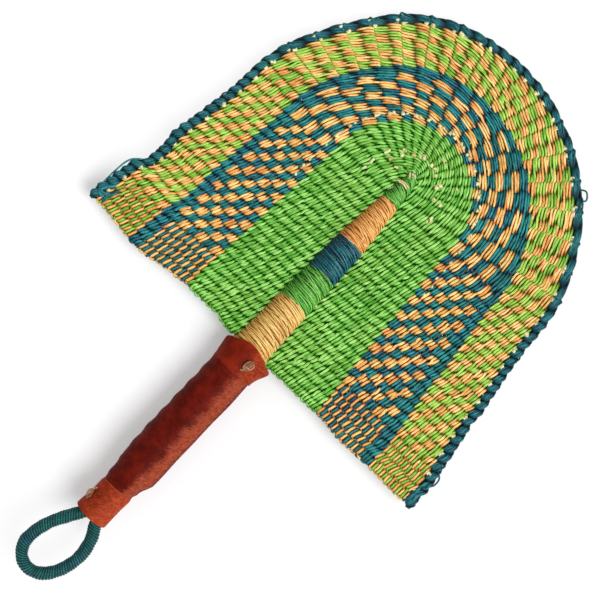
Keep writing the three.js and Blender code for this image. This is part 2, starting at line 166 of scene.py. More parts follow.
def tubes(rings, closed=False, shade=0.5, lift=1.0):
    """Points, faces, UVs and values of rings[tube, step, side], with faces outwards and ends capped.

    Shade and lift are one number, one for each side, one for each tube and step, or one for each point.
    Closed tubes join their last step to the first and have no ends. The fibres of each tube start at a
    random place.
    """
    count, steps, sides, _ = rings.shape
    number = np.arange(count * steps * sides).reshape(count, steps, sides)
    aside = np.roll(number, -1, axis=2)
    walls = np.stack([number, aside, np.roll(aside, -1, axis=1), np.roll(number, -1, axis=1)], axis=-1)
    middle = rings.mean(axis=2)
    stride = np.linalg.norm(np.roll(middle, -1, axis=1) - middle, axis=-1)
    if not closed:
        walls, stride = walls[:, :-1], stride[:, :-1]
    girth = np.linalg.norm(np.roll(rings, -1, axis=2) - rings, axis=-1).sum(axis=2).mean(axis=1)
    end = np.cumsum(stride, axis=1) + randoms.uniform(0, FIBRE_SHIFT, (count, 1))
    u = (np.arange(sides)[:, None] + np.array([0, 1, 1, 0])) / sides * girth[:, None, None, None]
    v = np.stack([end - stride, end - stride, end, end], axis=-1)[:, :, None, :]
    faces = [walls.reshape(-1, 4)]
    uvs = [np.stack(np.broadcast_arrays(u, v), axis=-1).reshape(-1, 4, 2)]
    if not closed:
        faces.append(np.vstack([number[:, 0, ::-1], number[:, -1]]))
        uvs.append(np.zeros(faces[1].shape + (2,)))
    points = rings.reshape(-1, 3)
    volume = 0.0
    for corners in faces:
        fan = (points[corners[:, :1]], points[corners[:, 1:-1]], points[corners[:, 2:]])
        volume += (fan[0] * np.cross(fan[1], fan[2])).sum()
    if volume < 0:
        faces = [corners[:, ::-1] for corners in faces]
        uvs = [uv[:, ::-1] for uv in uvs]
    made = {"points": points, "faces": faces, "uvs": uvs}
    for name, value in (("shade", shade), ("lift", lift)):
        value = np.asarray(value, dtype=float)
        value = value[..., None] if value.ndim == 2 else value
        made[name] = np.broadcast_to(value, rings.shape[:3]).ravel()
    return made


def make_piece(name, parts, material, body="fan", replaced=()):
    """One mesh object out of several sets of tubes, riding on its body."""
    starts, corners, uvs, first, loops = [], [], [], 0, 0
    for part in parts:
        for faces, uv in zip(part["faces"], part["uvs"]):
            starts.append(loops + np.arange(len(faces)) * faces.shape[1])
            corners.append((faces + first).ravel())
            uvs.append(uv.reshape(-1, 2))
            loops += faces.size
        first += len(part["points"])
    starts = np.concatenate(starts).astype(np.int32)
    mesh = bpy.data.meshes.new(name)
    mesh.vertices.add(first)
    points = on_frame(np.vstack([part["points"] for part in parts]))
    mesh.vertices.foreach_set("co", points.astype(np.float32).ravel())
    mesh.loops.add(loops)
    mesh.loops.foreach_set("vertex_index", np.concatenate(corners).astype(np.int32))
    mesh.polygons.add(len(starts))
    mesh.polygons.foreach_set("loop_start", starts)
    mesh.polygons.foreach_set("use_smooth", np.ones(len(starts), dtype=bool))
    mesh.update(calc_edges=True)
    layer = mesh.uv_layers.new(name="UVMap")
    layer.data.foreach_set("uv", np.vstack(uvs).astype(np.float32).ravel())
    for value in ("shade", "lift"):
        numbers = np.concatenate([part[value] for part in parts])
        mesh.attributes.new(value, "FLOAT", "POINT").data.foreach_set("value", numbers.astype(np.float32))
    mesh.materials.append(material)
    piece = bpy.data.objects.new(name, mesh)
    bpy.context.scene.collection.objects.link(piece)
    if body:
        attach(piece, body)
    if replaced:
        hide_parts(*replaced)
    print(f"{name}: {len(starts)} faces, {first} points")
    return piece


# %% [markdown]
# Finishes are node trees, and writing them node by node is long. These helpers name what both finishes
# use: a colour as it looks on screen, a node with its inputs, ramps, sums and noise, and a tree's end.

# %% Node helpers
def linear(red, green, blue):
    """A colour seen on screen, 0 to 255, as the linear values that shaders use."""
    share = np.array([red, green, blue]) / 255
    value = np.where(share <= 0.04045, share / 12.92, ((share + 0.055) / 1.055) ** 2.4)
    return (*value, 1.0)


def add_node(tree, kind, inputs=None, **settings):
    """A node with its settings. An input is given a socket to link, or a plain value."""
    made = tree.nodes.new(kind)
    for key, value in settings.items():
        setattr(made, key, value)
    for key, value in (inputs or {}).items():
        if isinstance(value, bpy.types.NodeSocket):
            tree.links.new(value, made.inputs[key])
        else:
            made.inputs[key].default_value = value
    return made


def blend_colour(tree, share, first, second):
    """Mixes two colours by a share, and returns the mixed colour's socket."""
    inputs = {0: share, 6: first, 7: second}
    return add_node(tree, "ShaderNodeMix", inputs, data_type="RGBA").outputs[2]


def ramp(tree, value, low, high, to_low=0.0, to_high=1.0):
    """A value between low and high becomes one between to_low and to_high, in an S curve."""
    inputs = {"Value": value, 1: low, 2: high, 3: to_low, 4: to_high}
    made = add_node(tree, "ShaderNodeMapRange", inputs, interpolation_type="SMOOTHSTEP")
    return made.outputs[0]


def calculate(tree, operation, first, second):
    return add_node(tree, "ShaderNodeMath", {0: first, 1: second}, operation=operation).outputs[0]


def noise(tree, place, scale, detail, roughness=0.5):
    inputs = {"Vector": place, "Scale": scale, "Detail": detail, "Roughness": roughness}
    return add_node(tree, "ShaderNodeTexNoise", inputs).outputs["Fac"]


def point_value(tree, name):
    """A value that the mesh holds for each point: shade or lift."""
    return add_node(tree, "ShaderNodeAttribute", attribute_name=name).outputs["Fac"]


def object_place(tree):
    return add_node(tree, "ShaderNodeTexCoord").outputs["Object"]


def emptied(owner):
    """The node tree of a material or world, with no nodes in it."""
    owner.use_nodes = True
    owner.node_tree.nodes.clear()
    return owner.node_tree


def show(tree, shader, output="ShaderNodeOutputMaterial"):
    """Links a shader to the tree's output."""
    tree.links.new(shader.outputs[0], add_node(tree, output).inputs["Surface"])


def new_group(name, inputs, outputs):
    """An empty node group with named sockets, and its input and output nodes."""
    tree = bpy.data.node_groups.new(name, "ShaderNodeTree")
    kinds = {"colour": "NodeSocketColor", "value": "NodeSocketFloat"}
    for label, kind in inputs.items():
        tree.interface.new_socket(name=label, in_out="INPUT", socket_type=kinds[kind])
    for label, kind in outputs.items():
        tree.interface.new_socket(name=label, in_out="OUTPUT", socket_type=kinds[kind])
    return tree, tree.nodes.new("NodeGroupInput").outputs, tree.nodes.new("NodeGroupOutput").inputs


# %% [markdown]
# Dyed straw has fine fibres along each strand, a soft sheen, and a tone that changes from strand to strand
# and drifts slowly over the fan. Shade is painted into the colour where the lift is low: at the edges and in
# the groove of each strand, and where strands dive between their neighbours, the colour turns to the deep
# tone. A highlight is painted where the lift is high, on the light fibres of each crown. One node group
# makes this for every straw finish: it mixes a deep tone, the straw's own colour and a glint by the lift and
# shade values and by a noise that is stretched along the strand.

# %% Shared straw group
FIBRE_STRETCH = (3.2, 0.24, 1)
DRIFT_SCALE = 42.0
TONE_BY_SHADE = 0.16
STRAW_BUMP = (0.35, 0.0002)
STRAW_GLOSS = 0.25


def straw_group():
    """Colour and height of dyed straw from the strand's own values and noise stretched along it."""
    inputs = {"Deep": "colour", "Straw": "colour", "Glint": "colour", "Drift": "colour"}
    tree, given, result = new_group("dyed_straw", inputs, {"Colour": "colour", "Height": "value"})
    shade, lift = point_value(tree, "shade"), point_value(tree, "lift")
    along = add_node(tree, "ShaderNodeUVMap", uv_map="UVMap").outputs["UV"]
    inputs = {0: along, 1: FIBRE_STRETCH}
    stretched = add_node(tree, "ShaderNodeVectorMath", inputs, operation="MULTIPLY").outputs[0]
    fibre = noise(tree, stretched, 1.0, 5.0)
    drifted = ramp(tree, noise(tree, object_place(tree), DRIFT_SCALE, 2.0), 0.46, 0.66)
    base = blend_colour(tree, drifted, given["Straw"], given["Drift"])
    toned = calculate(tree, "ADD", calculate(tree, "MULTIPLY", shade, TONE_BY_SHADE), fibre)
    # Painted highlight: the glint colour on light fibres where the lift is high, on each strand's crown.
    painted_highlight = calculate(tree, "MULTIPLY", ramp(tree, toned, 0.5, 0.7), ramp(tree, lift, 0.5, 0.95))
    lit = blend_colour(tree, painted_highlight, base, given["Glint"])
    sunk = ramp(tree, toned, 0.38, 0.58, 0.6, 0.0)
    shaded = blend_colour(tree, sunk, lit, given["Deep"])
    # Painted shade: where the lift is low, at strand edges, in grooves and where strands dive, the colour
    # turns to the deep tone.
    low = ramp(tree, lift, 0.16, 0.8, 0.97, 0.0)
    tree.links.new(blend_colour(tree, low, shaded, given["Deep"]), result["Colour"])
    tree.links.new(fibre, result["Height"])
    return tree


def group_material(name, group, colours, bump, gloss, roughness=None):
    """A finish: a group's colour and bump on a plain shader.

    The colours stand in the order of the group's inputs, bump is strength and distance, and where no
    roughness is given the group's own is used.
    """
    material = bpy.data.materials.new(name)
    tree = emptied(material)
    made = add_node(tree, "ShaderNodeGroup", node_tree=group)
    for socket, colour in zip(made.inputs, colours):
        socket.default_value = linear(*colour)
    relief = {"Strength": bump[0], "Distance": bump[1], "Height": made.outputs["Height"]}
    inputs = {
        "Base Color": made.outputs["Colour"],
        "Normal": add_node(tree, "ShaderNodeBump", relief).outputs[0],
        "Roughness": made.outputs["Roughness"] if roughness is None else roughness,
        "Specular IOR Level": gloss,
    }
    show(tree, add_node(tree, "ShaderNodeBsdfPrincipled", inputs))
    return material


STRAW = straw_group()


# Deep is the colour of painted shade and of dark fibres, glint the colour of painted highlights.
def straw_material(name, deep, straw, glint, drift, roughness=0.5):
    return group_material(name, STRAW, (deep, straw, glint, drift), STRAW_BUMP, STRAW_GLOSS, roughness)


green_straw = straw_material("green_straw", (14, 68, 6), (84, 172, 36), (184, 238, 132), (102, 174, 42))
teal_straw = straw_material("teal_straw", (0, 24, 32), (2, 90, 92), (52, 162, 158), (0, 72, 98))
orange_straw = straw_material("orange_straw", (92, 46, 8), (242, 172, 82), (255, 234, 156), (240, 150, 68))
band_green_straw = straw_material(
    "band_green_straw", (62, 78, 12), (134, 190, 54), (210, 236, 116), (104, 182, 48)
)
rim_straw = straw_material("rim_straw", (0, 22, 30), (0, 66, 78), (56, 148, 152), (0, 80, 78))
loop_straw = straw_material("loop_straw", (0, 22, 28), (2, 82, 82), (36, 150, 134), (0, 66, 84))
cream_straw = straw_material("cream_straw", (120, 92, 40), (224, 204, 140), (246, 238, 196), (212, 186, 118))
print("straw group:", len(STRAW.nodes), "nodes, shared by every straw finish")

# %% [markdown]
# Free strands are given by a few points each, and run through them in a smooth curve. A centripetal
# Catmull-Rom curve needs no handles and doesn't overshoot where two points are close together.

# %% Smooth curves
def route_curve(points, steps=24):
    """Centripetal Catmull-Rom curve through the points, as arrays.

    Between two points it is a cubic. Its slope at each is the mean of the steps before and after it,
    weighed by the square roots of their lengths. At the ends the next point is mirrored.
    """
    reach = np.vstack([2 * points[0] - points[1], points, 2 * points[-1] - points[-2]])
    gap = np.sqrt(np.linalg.norm(np.diff(reach, axis=0), axis=1))[:, None]
    before, start, end, after = reach[:-3], reach[1:-2], reach[2:-1], reach[3:]
    g0, g1, g2 = gap[:-2], gap[1:-1], gap[2:]
    leave = ((start - before) / g0 - (end - before) / (g0 + g1) + (end - start) / g1) * g1
    arrive = ((end - start) / g1 - (after - start) / (g1 + g2) + (after - end) / g2) * g1
    f = (np.arange(steps) / steps)[None, :, None]
    start, end, leave, arrive = (a[:, None] for a in (start, end, leave, arrive))
    curve = (2 * f**3 - 3 * f**2 + 1) * start + (f**3 - 2 * f**2 + f) * leave
    curve = curve + (3 * f**2 - 2 * f**3) * end + (f**3 - f**2) * arrive
    return np.vstack([curve.reshape(-1, points.shape[1]), points[-1:]])


def evenly(curve, count):
    """The same curve with count points at even distances, and its length."""
    reach = np.concatenate([[0], np.cumsum(np.linalg.norm(np.diff(curve, axis=0), axis=1))])
    at = np.linspace(0, reach[-1], count)
    return np.stack([np.interp(at, reach, axis) for axis in curve.T], axis=-1), reach[-1]


# %% [markdown]
# The hanging loop is a bent cord wound with teal straw. Five parallel straws go round it together, so the
# wraps slant by about twenty degrees. It could be a helix of separate strands, but the wraps lie tight, so
# one closed tube whose radius rises in slanting ridges is simpler and has no gaps. It comes out of the
# handle's mouth, bows to one side and goes back in.

# %% Hanging loop
LOOP_AXIS_Y = -141.1
LOOP_ROOTS = (-6.5, 4.2)
LOOP_ROUTE = (
    (-6.6, -3.6), (-10.8, -11), (-16.8, -22.5), (-19.9, -34), (-19.6, -43), (-14.4, -50.2),
    (-7, -52.4), (0.8, -49.4), (6.6, -42.4), (10.2, -33), (11.2, -23), (8.6, -11.5), (4.3, -3.6),
)
LOOP_DIAMETER = 7.8
WRAP_PITCH = 1.7
WRAP_STARTS = 5
WRAP_RELIEF = 0.85
LOOP_STEPS = 560
LOOP_SIDES = 48
WRAP_PROUD = 0.3
WRAP_ROUNDNESS = 0.7
WRAP_UNEVEN = 0.12
DRIFT_PLACES = 30


loop_xy = [(LOOP_ROOTS[0], LOOP_AXIS_Y)]
loop_xy += [(x, LOOP_AXIS_Y + below) for x, below in LOOP_ROUTE]
loop_xy += [(LOOP_ROOTS[1], LOOP_AXIS_Y)]
loop_points = np.array([(x, y, 0.0) for x, y in loop_xy])
loop_path, loop_length = evenly(route_curve(loop_points), LOOP_STEPS)


def wound_tube(path, length, diameter, sides, starts, pitch, relief):
    """A tube whose radius rises in slanting ridges: starts of them side by side, a pitch apart.

    The ridge at an angle and a distance is |cos| of half the sum of starts times the angle and the
    distance in pitches, so neighbouring wraps meet in a sharp groove.
    """
    tangent = unit(np.gradient(path, axis=0))
    side = np.cross(tangent, UP)
    angle = 2 * np.pi * np.arange(sides) / sides
    along = np.linspace(0, length, len(path))[:, None]
    wrap = np.cos((starts * angle + 2 * np.pi * along / pitch) / 2)
    ridge = np.abs(wrap) ** WRAP_ROUNDNESS
    wrap_number = np.floor((starts * angle / (2 * np.pi) + along / pitch) + 0.5).astype(int) % starts
    tone = randoms.uniform(0, 1, starts)[wrap_number]
    radius = diameter / 2 + WRAP_PROUD - relief * (1 - ridge) + WRAP_UNEVEN * (tone - 0.5)
    wander = 0.1 * np.sin(along / 5.3) + 0.1 * np.sin(along / 2.3 + 1) + 0.08 * np.sin(along / 1.1)
    radius = radius + wander
    ring = np.cos(angle)[None, :, None] * UP + np.sin(angle)[None, :, None] * side[:, None]
    places = np.linspace(0, length, DRIFT_PLACES)
    drift = np.interp(along[:, 0], places, randoms.uniform(-0.3, 0.3, DRIFT_PLACES))
    tone = np.clip(0.1 + 0.6 * tone + drift[:, None], 0, 1)
    # The lift follows the ridges: the finish paints shade into the grooves between wraps and highlights on
    # their crowns.
    return path[:, None] + ring * radius[..., None], tone, 0.8 * ridge


loop_rings, loop_tone, loop_ridge = wound_tube(
    loop_path, loop_length, LOOP_DIAMETER, LOOP_SIDES, WRAP_STARTS, WRAP_PITCH, WRAP_RELIEF
)
loop_parts = tubes(loop_rings[None], shade=loop_tone[None], lift=loop_ridge[None])
hanging_loop = make_piece(
    "hanging_loop", [loop_parts], loop_straw, body=None,
    replaced=("loop_cord", "loop_winding"),
)
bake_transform(hanging_loop)
print("loop cord", round(loop_length, 1), "mm")

# %% [markdown]
# The rows of the blade are nested U shapes. Each row crosses every stake once, and the place of each
# crossing is found on the stake's own ray: rays are level beside the rib and fan out round its tip. A
# row at a given distance is a half circle above its centre and two legs below it. The crossing has no
# simple formula on every ray, so the interval along the ray is halved until it is found, for all rays
# and rows at once.

# %% Blade shape
ARC_HEIGHT = 124.0
FIELD_RISE = 17.5
RISE_FALLOFF = 1.3
FIELD_RADIUS = 47.7
CHECKER_RADIUS = 87.4
BAND_RADIUS = 114.0
FLARE = 0.188
FLARE_EASE = 20.0
SHOULDER_SLACK = 4.4
SHOULDER_ANGLE = 57.0
SHOULDER_SPREAD = 33.0
SIDE_STAKES = 20
FIRST_STAKE = 2.4
STAKE_PITCH = (ARC_HEIGHT - FIRST_STAKE) / (SIDE_STAKES - 1)
FAN_STAKES = 9
FAN_STEP = 9.0
TIP_STAKES = 7
TIP_STAKES_ABOVE = 15.5
TIP_STEP = 0.9
INSERT_OFFSET = 2.9
STRAND_DEPTH = 1.64
CLEARANCE = 0.3
POINT_Y = ARC_HEIGHT + 22.0
POINT_ROOM = 3.5
HALVINGS = 40
LARGEST_SHARE = 3.0
STATIONS = np.array([
    [-138, 8.6, 8.6, -1.2], [-117, 8.6, 8.6, -0.6], [-104, 13.1, 12.6, 0], [-20, 13.1, 12.6, 0],
    [-5, 12.6, 12.6, 0], [4, 10.6, 8.6, 0], [89, 8.4, 6.2, 0], [ARC_HEIGHT, 5.2, 4.4, 0],
    [POINT_Y, 2.2, 2.2, 0],
])


def bundle_section(y):
    """Half width, half height and sideways shift of the bundle at a height, between its stations."""
    return [np.interp(y, STATIONS[:, 0], STATIONS[:, column]) for column in (1, 2, 3)]


def row_centre(radius):
    return ARC_HEIGHT + FIELD_RISE * np.maximum(0, 1 - radius / CHECKER_RADIUS) ** RISE_FALLOFF


def beyond_row(x, y, radius):
    """How far a point lies outside a row: round above the row's centre, two flared legs below it."""
    up = y - row_centre(radius)
    angle = np.degrees(np.arctan2(-x, up))
    away = np.clip((angle - SHOULDER_ANGLE) / SHOULDER_SPREAD, -1, 1)
    drawn = SHOULDER_SLACK * np.minimum(1, radius / BAND_RADIUS) ** 2 * np.cos(away * np.pi / 2) ** 2
    below = np.minimum(up, 0)
    leg = np.abs(x) - radius - FLARE * radius * below**2 / (BAND_RADIUS * (FLARE_EASE - below))
    return np.where(up >= 0, np.hypot(x, up) - radius + drawn, leg)


def beyond_rib(x, y, _):
    """How far a point lies outside the wound rib, which ends in half an ellipse."""
    wide = bundle_section(np.minimum(y, ARC_HEIGHT))[0] + STRAND_DEPTH
    tip = np.hypot(x / wide, (y - ARC_HEIGHT) / (POINT_Y - ARC_HEIGHT + POINT_ROOM)) - 1
    return np.where(y <= ARC_HEIGHT, np.abs(x) - wide, tip)


def crossing_share(rays, beyond, radii):
    """Share of each ray[ray, end, xy] at which it leaves each boundary, by halving the interval."""
    radius = np.atleast_1d(radii).astype(float)[:, None]
    low = np.zeros((len(radius), len(rays)))
    high = np.full_like(low, LARGEST_SHARE)
    start, run = rays[:, 0], rays[:, 1] - rays[:, 0]
    for _ in range(HALVINGS):
        middle = (low + high) / 2
        x, y = start[:, 0] + run[:, 0] * middle, start[:, 1] + run[:, 1] * middle
        outside = beyond(x, y, radius) > 0
        high, low = np.where(outside, middle, high), np.where(outside, low, middle)
    return high


def at_share(rays, share):
    return rays[:, 0] + (rays[:, 1] - rays[:, 0]) * share[..., None]


print("stakes every", round(STAKE_PITCH, 2), "mm along the rib, every", FAN_STEP, "degrees round its tip")

# %% [markdown]
# The rays run from the right end of the straight edge over the crown to the left end. The fanned stakes
# are wide apart at the outside, so short stakes join between them in the outer band. Close to the tip
# there is no room for all of them, so the innermost rows cross only every other one there.

# %% Rays of the stakes
FAN_RADIUS = (FIELD_RADIUS + BAND_RADIUS) / 2


def on_arc(radius, degrees):
    angle = np.radians(degrees)
    return np.array([radius * np.sin(angle), ARC_HEIGHT + radius * np.cos(angle)])


def fanned_ray(number):
    on_rib = ARC_HEIGHT + (FAN_STAKES + 1 - number) * STAKE_PITCH
    on_tip = ARC_HEIGHT + TIP_STAKES_ABOVE + (TIP_STAKES - number) * TIP_STEP
    start = np.array([0, on_rib if number > TIP_STAKES else on_tip])
    return np.array([start, on_arc(FAN_RADIUS, number * FAN_STEP)])


def short_ray(number):
    """Beside the fanned stake of the same number where it starts, and half way to the next outside."""
    main = fanned_ray(number)
    run = main[1] - main[0]
    step = unit(np.array([run[1], -run[0]])) * INSERT_OFFSET
    beside = main + step
    share = crossing_share(beside[None], beyond_row, FIELD_RADIUS + 3 * CLEARANCE)
    start = at_share(beside[None], share)[0, 0]
    return np.array([start, on_arc(BAND_RADIUS, (number + 0.5) * FAN_STEP)])


level_heights = FIRST_STAKE + STAKE_PITCH * np.arange(SIDE_STAKES)
levels = [np.array([[0, y], [FAN_RADIUS, y]]) for y in level_heights]
every_fanned = list(range(FAN_STAKES, -1, -1))
tip_fanned = [9, 8, 6, 4, 2, 0]


def mirror(rays):
    return rays * np.array([-1, 1])


def whole_row(right_half):
    """Rays of the right half, then the same ones mirrored back down the left, the crown's once."""
    return np.array(right_half + [mirror(ray) for ray in reversed(right_half[:-1])])


tip_rays = whole_row(levels + [fanned_ray(n) for n in tip_fanned])
main_rays = whole_row(levels + [fanned_ray(n) for n in every_fanned])
outer_half = list(levels)
for number in every_fanned:
    outer_half += [short_ray(number), fanned_ray(number)]
outer_rays = whole_row(outer_half)
print("stakes crossed:", len(tip_rays), "innermost,", len(main_rays), "next,", len(outer_rays), "outside")

# %% [markdown]
# The blade isn't quite even, as handmade ones aren't. Everything on it is worked out on an even blade
# first and then moved by a few millimetres, so that strands, stakes and rim stay together.

# %% Handmade shape
LEFT_RISE = 2.6
LEFT_SAG = 4.4
RIGHT_SAG = 2.0
CORNER_SAG = 0.7
RIGHT_SWELL = 2.2
UPPER_SWELL = 1.5
LEFT_DRAWN_IN = 3.8
LEFT_SHIFT = 0.8


def handmade(points):
    """Moves points of the blade a few millimetres, as the photograph shows them.

    The straight edge dips on both sides, the right side swells outwards and the left one is drawn in a
    little above its corner. Each move fades out towards the rib and upwards.
    """
    x, y = points[..., 0], points[..., 1]
    left = LEFT_RISE * smooth((-x - 18) / 14) - LEFT_SAG * np.exp(-((x + 96) / 20) ** 2)
    right = -RIGHT_SAG * smooth((x - 55) / 25) - CORNER_SAG * smooth((x - 110) / 15)
    swell = RIGHT_SWELL * smooth((y - 6) / 8) * smooth((235 - y) / 60)
    swell = swell + UPPER_SWELL * smooth((y - 58) / 14) * smooth((170 - y) / 20)
    drawn_in = LEFT_DRAWN_IN * smooth((y - 33) / 7) * smooth((66 - y) / 16) + LEFT_SHIFT
    moved = points.copy()
    moved[..., 0] += swell * smooth((x - 45) / 60) + drawn_in * smooth((-x - 70) / 50)
    moved[..., 1] += (left + right) * smooth(1 - y / 60)
    return moved


def laid(flat, height):
    """Flat points with their heights, moved as the blade is."""
    return handmade(np.concatenate([flat, height[..., None]], axis=-1))


corner = np.array([BAND_RADIUS, 0.0, 0.0])
print("right corner moves by", (handmade(corner) - corner)[:2].round(2), "mm")

# %% [markdown]
# Each row is twined: two strands pass one in front and one behind every stake, and swap between the
# stakes. Written as a phase, the strand stands at the cosine of it above the stakes and at the sine of
# it across the row. Half a turn from stake to stake swaps the strands, a whole turn keeps the same one
# in front. With one orange and one teal strand a row shows blocks where they swap, and lines of one
# colour where they don't: that is how this fan's checks and striped ends are made.

# %% Phase of the strands
UNEVEN = 0.13
FULL_TURN_SHARE = 0.2
SWING_EASE = 0.1
STILL_CALM = 0.93


def along_row(crossings, u):
    """Smooth curve through crossings[row, stake] at places u, in stakes: a Catmull-Rom cubic."""
    first, last = crossings[:, :1], crossings[:, -1:]
    step_in, step_out = first - crossings[:, 1:2], last - crossings[:, -2:-1]
    before = [first + 2 * step_in, first + step_in]
    after = [last + step_out, last + 2 * step_out, last + 3 * step_out]
    padded = np.concatenate([*before, crossings, *after], axis=1)
    stake = np.floor(u).astype(int)
    f = (u - stake)[None, :, None]
    a, b, c, d = (padded[:, stake + 1 + n] for n in range(4))
    square, cube = 2 * a - 5 * b + 4 * c - d, 3 * b - a - 3 * c + d
    return 0.5 * (2 * b + (c - a) * f + square * f**2 + cube * f**3)


def row_frame(crossings, u):
    """Middle line of each row at u, its outward direction, and the distance between rows there."""
    path = along_row(crossings, u)
    ahead = unit(np.gradient(path, axis=1))
    out = np.stack([ahead[..., 1], -ahead[..., 0]], axis=-1)
    pitch = np.linalg.norm(np.gradient(path, axis=0), axis=-1)
    return path, out, pitch


def strand_phase(in_front, u):
    """Phase of the first strand at u. in_front[row, stake] says where it lies over the stake.

    From stake to stake the phase grows by half a turn where the strands swap and by a whole turn where
    they don't, and it moves slowest over a stake, so that stitches are long and swaps are quick. The
    place of each swap is a little uneven, as by hand. With the phase come calm, which is 1 where the
    strand swings whole and less where it turns right round between two stakes, near, which is 1 over
    the stakes and 0 half way between, and still, which is true where the same strand stays in front.
    """
    known = np.concatenate([in_front[:, :1], in_front, in_front[:, -1:], in_front[:, -1:]], axis=1)
    same = known[:, 1:] == known[:, :-1]
    growth = np.where(same, 2 * np.pi, np.pi)
    base = np.where(known[:, :1], 0, np.pi)
    start = np.concatenate([base, base + np.cumsum(growth, axis=1)], axis=1)
    stake = np.floor(u).astype(int) + 1
    f = u - np.floor(u)
    uneven = UNEVEN * randoms.normal(0, 1, same.shape)
    f = f + uneven[:, stake] * np.sin(np.pi * f) ** 2
    half_turn = np.pi * f - SWING_EASE * np.sin(2 * np.pi * f)
    whole_turn = np.tan(np.pi * (np.clip(f, 0.001, 0.999) - 0.5))
    whole_turn = np.pi + 2 * np.arctan(whole_turn / FULL_TURN_SHARE)
    still = same[:, stake]
    phase = start[:, stake] + np.where(still, whole_turn, half_turn)
    calm = 1 - STILL_CALM * still * np.sin(np.pi * f) ** 16
    return phase, calm, np.abs(np.cos(np.pi * f)), still


# %% [markdown]
# A strand is a doubled straw. It lies wide and flat over a stake and is drawn narrow where it dives to
# the back. Sizes go by the distance between rows, so that rows fill the blade where they widen.

# %% Strands of the rows
ROW_HEIGHT = 1.3
ROW_ACROSS = 0.54
ROW_NEST = 0.35
ROW_REACH = 0.42
STITCH_HALF = 0.5
SWAP_HALF = 0.06
EDGE_HALF = 0.54
STRIPE_HALF = 0.24
STRIPE_SWAP_HALF = 0.12
STRAND_FLAT = 0.58
STRAND_ROUND = 0.85
STRAND_TOP = 1.55
GROOVE_LIFT = 0.14
STEEPNESS = (0.6, 1.1)
STRAY = 0.12


def twined(crossings, in_front, steps):
    """Both strands of every row: rings, shade and lift of their tubes, and their middle lines.

    A swap takes the same length of strand everywhere, so it is steeper where the stakes are wide apart.
    """
    rows, stakes = in_front.shape
    count = int(round((stakes - 1 + 2 * ROW_REACH) * steps)) + 1
    u = np.linspace(-ROW_REACH, stakes - 1 + ROW_REACH, count)
    path, out, pitch = row_frame(crossings, u)
    phase, calm, near, still = strand_phase(in_front, u)
    steep = STAKE_PITCH / np.linalg.norm(np.gradient(path, u, axis=1), axis=-1)
    steep = np.clip(0.35 + 0.65 * steep, *STEEPNESS)
    stitch = np.clip(np.floor(u + 0.5).astype(int), 0, stakes - 1)
    made = []
    for turn in (0, np.pi):
        swing = phase + turn
        swell = np.cos(swing)
        front = np.abs(swell)
        size = randoms.uniform(0.9, 1.1, (rows, stakes))[:, stitch]
        wobble = STRAY * randoms.normal(0, 1, (rows, stakes))[:, stitch] * front
        aside = ROW_ACROSS * (0.45 + 0.55 * calm) * pitch * np.sin(swing) + wobble
        height = ROW_HEIGHT * np.sign(swell) * front ** (1.25 * steep) - ROW_NEST * np.sin(swing)
        line = laid(path + out * aside[..., None], height * calm)
        least = np.where(still, STRIPE_SWAP_HALF, SWAP_HALF)
        crown = least + (np.where(still, STRIPE_HALF, STITCH_HALF) - least) * near ** (1.2 * steep)
        at_edge = np.abs(DOUBLED[:, 0]) == 1
        wide = (pitch * size)[..., None] * np.where(at_edge, EDGE_HALF, crown[..., None])
        thick = STRAND_ROUND + (STRAND_FLAT - STRAND_ROUND) * near
        rings = sweep(line, UP, wide, thick, DOUBLED)
        # Lift for painted shade and highlight: low at the edges and in the groove, and lower the deeper the
        # strand lies, so dives and the gaps between stitches are painted darker.
        lift = GROOVE_LIFT + (1 - GROOVE_LIFT) * np.abs(DOUBLED[:, 1])
        lift = np.clip(np.abs(rings[..., 2]) / STRAND_TOP, 0, 1) * lift
        lift = np.where(still[..., None], GROOVE_LIFT + 0.7 * lift, lift)
        shade = randoms.uniform(0, 1, (rows, stakes))[:, stitch]
        made.append({"rings": rings, "shade": shade, "lift": lift, "line": line})
    return made


def as_tubes(strand, rows=slice(None)):
    return tubes(strand["rings"][rows], shade=strand["shade"][rows], lift=strand["lift"][rows])


# %% [markdown]
# At the straight edge a strand doesn't end: it turns and comes back as the strand of the next row. These
# turns are half loops between the ends of neighbouring rows, which differ a little from each other.

# %% Turns at the straight edge
TURN_STEPS = 8
TURN_THICKNESS = 0.5
TURN_LIFT = 0.85


def edge_turns(lines, first, end):
    """Half loops that join neighbouring strands past the straight edge: half an ellipse, bulging down.

    lines[row, step] are the middle lines of one colour's strands, first is the row that the pairs start
    at, and end is 0 for the right end of the rows or -1 for the left one.
    """
    pairs = np.arange(first, len(lines) - 1, 2)
    start, stop = lines[pairs, end], lines[pairs + 1, end]
    turn = np.linspace(0, np.pi, TURN_STEPS)[None, :, None]
    bulge = randoms.uniform(0.5, 1.3, (len(pairs), 1, 1))
    lifted = randoms.uniform(-0.9, 0.9, (len(pairs), 1, 1))
    path = ((start + stop) / 2)[:, None] + ((start - stop) / 2)[:, None] * np.cos(turn)
    path = path + np.sin(turn) * (bulge * np.array([0, -1.0, 0]) + lifted * UP)
    rings = sweep(path, UP, randoms.uniform(0.6, 0.9, (len(pairs), 1)), TURN_THICKNESS, DOUBLED)
    return tubes(rings, shade=randoms.uniform(0, 1, (len(pairs), 1)), lift=crowned(TURN_LIFT, DOUBLED))


def both_edges(lines):
    return [edge_turns(lines, 0, 0), edge_turns(lines, 1, -1)]


def plain_edges(strands):
    return both_edges(strands[0]["line"]) + both_edges(strands[1]["line"])


# %% [markdown]
# The rows of a field lie evenly between its two boundaries. In the checkered fields the colours of a row
# follow from which strand is in front, and each colour is collected from both strands.

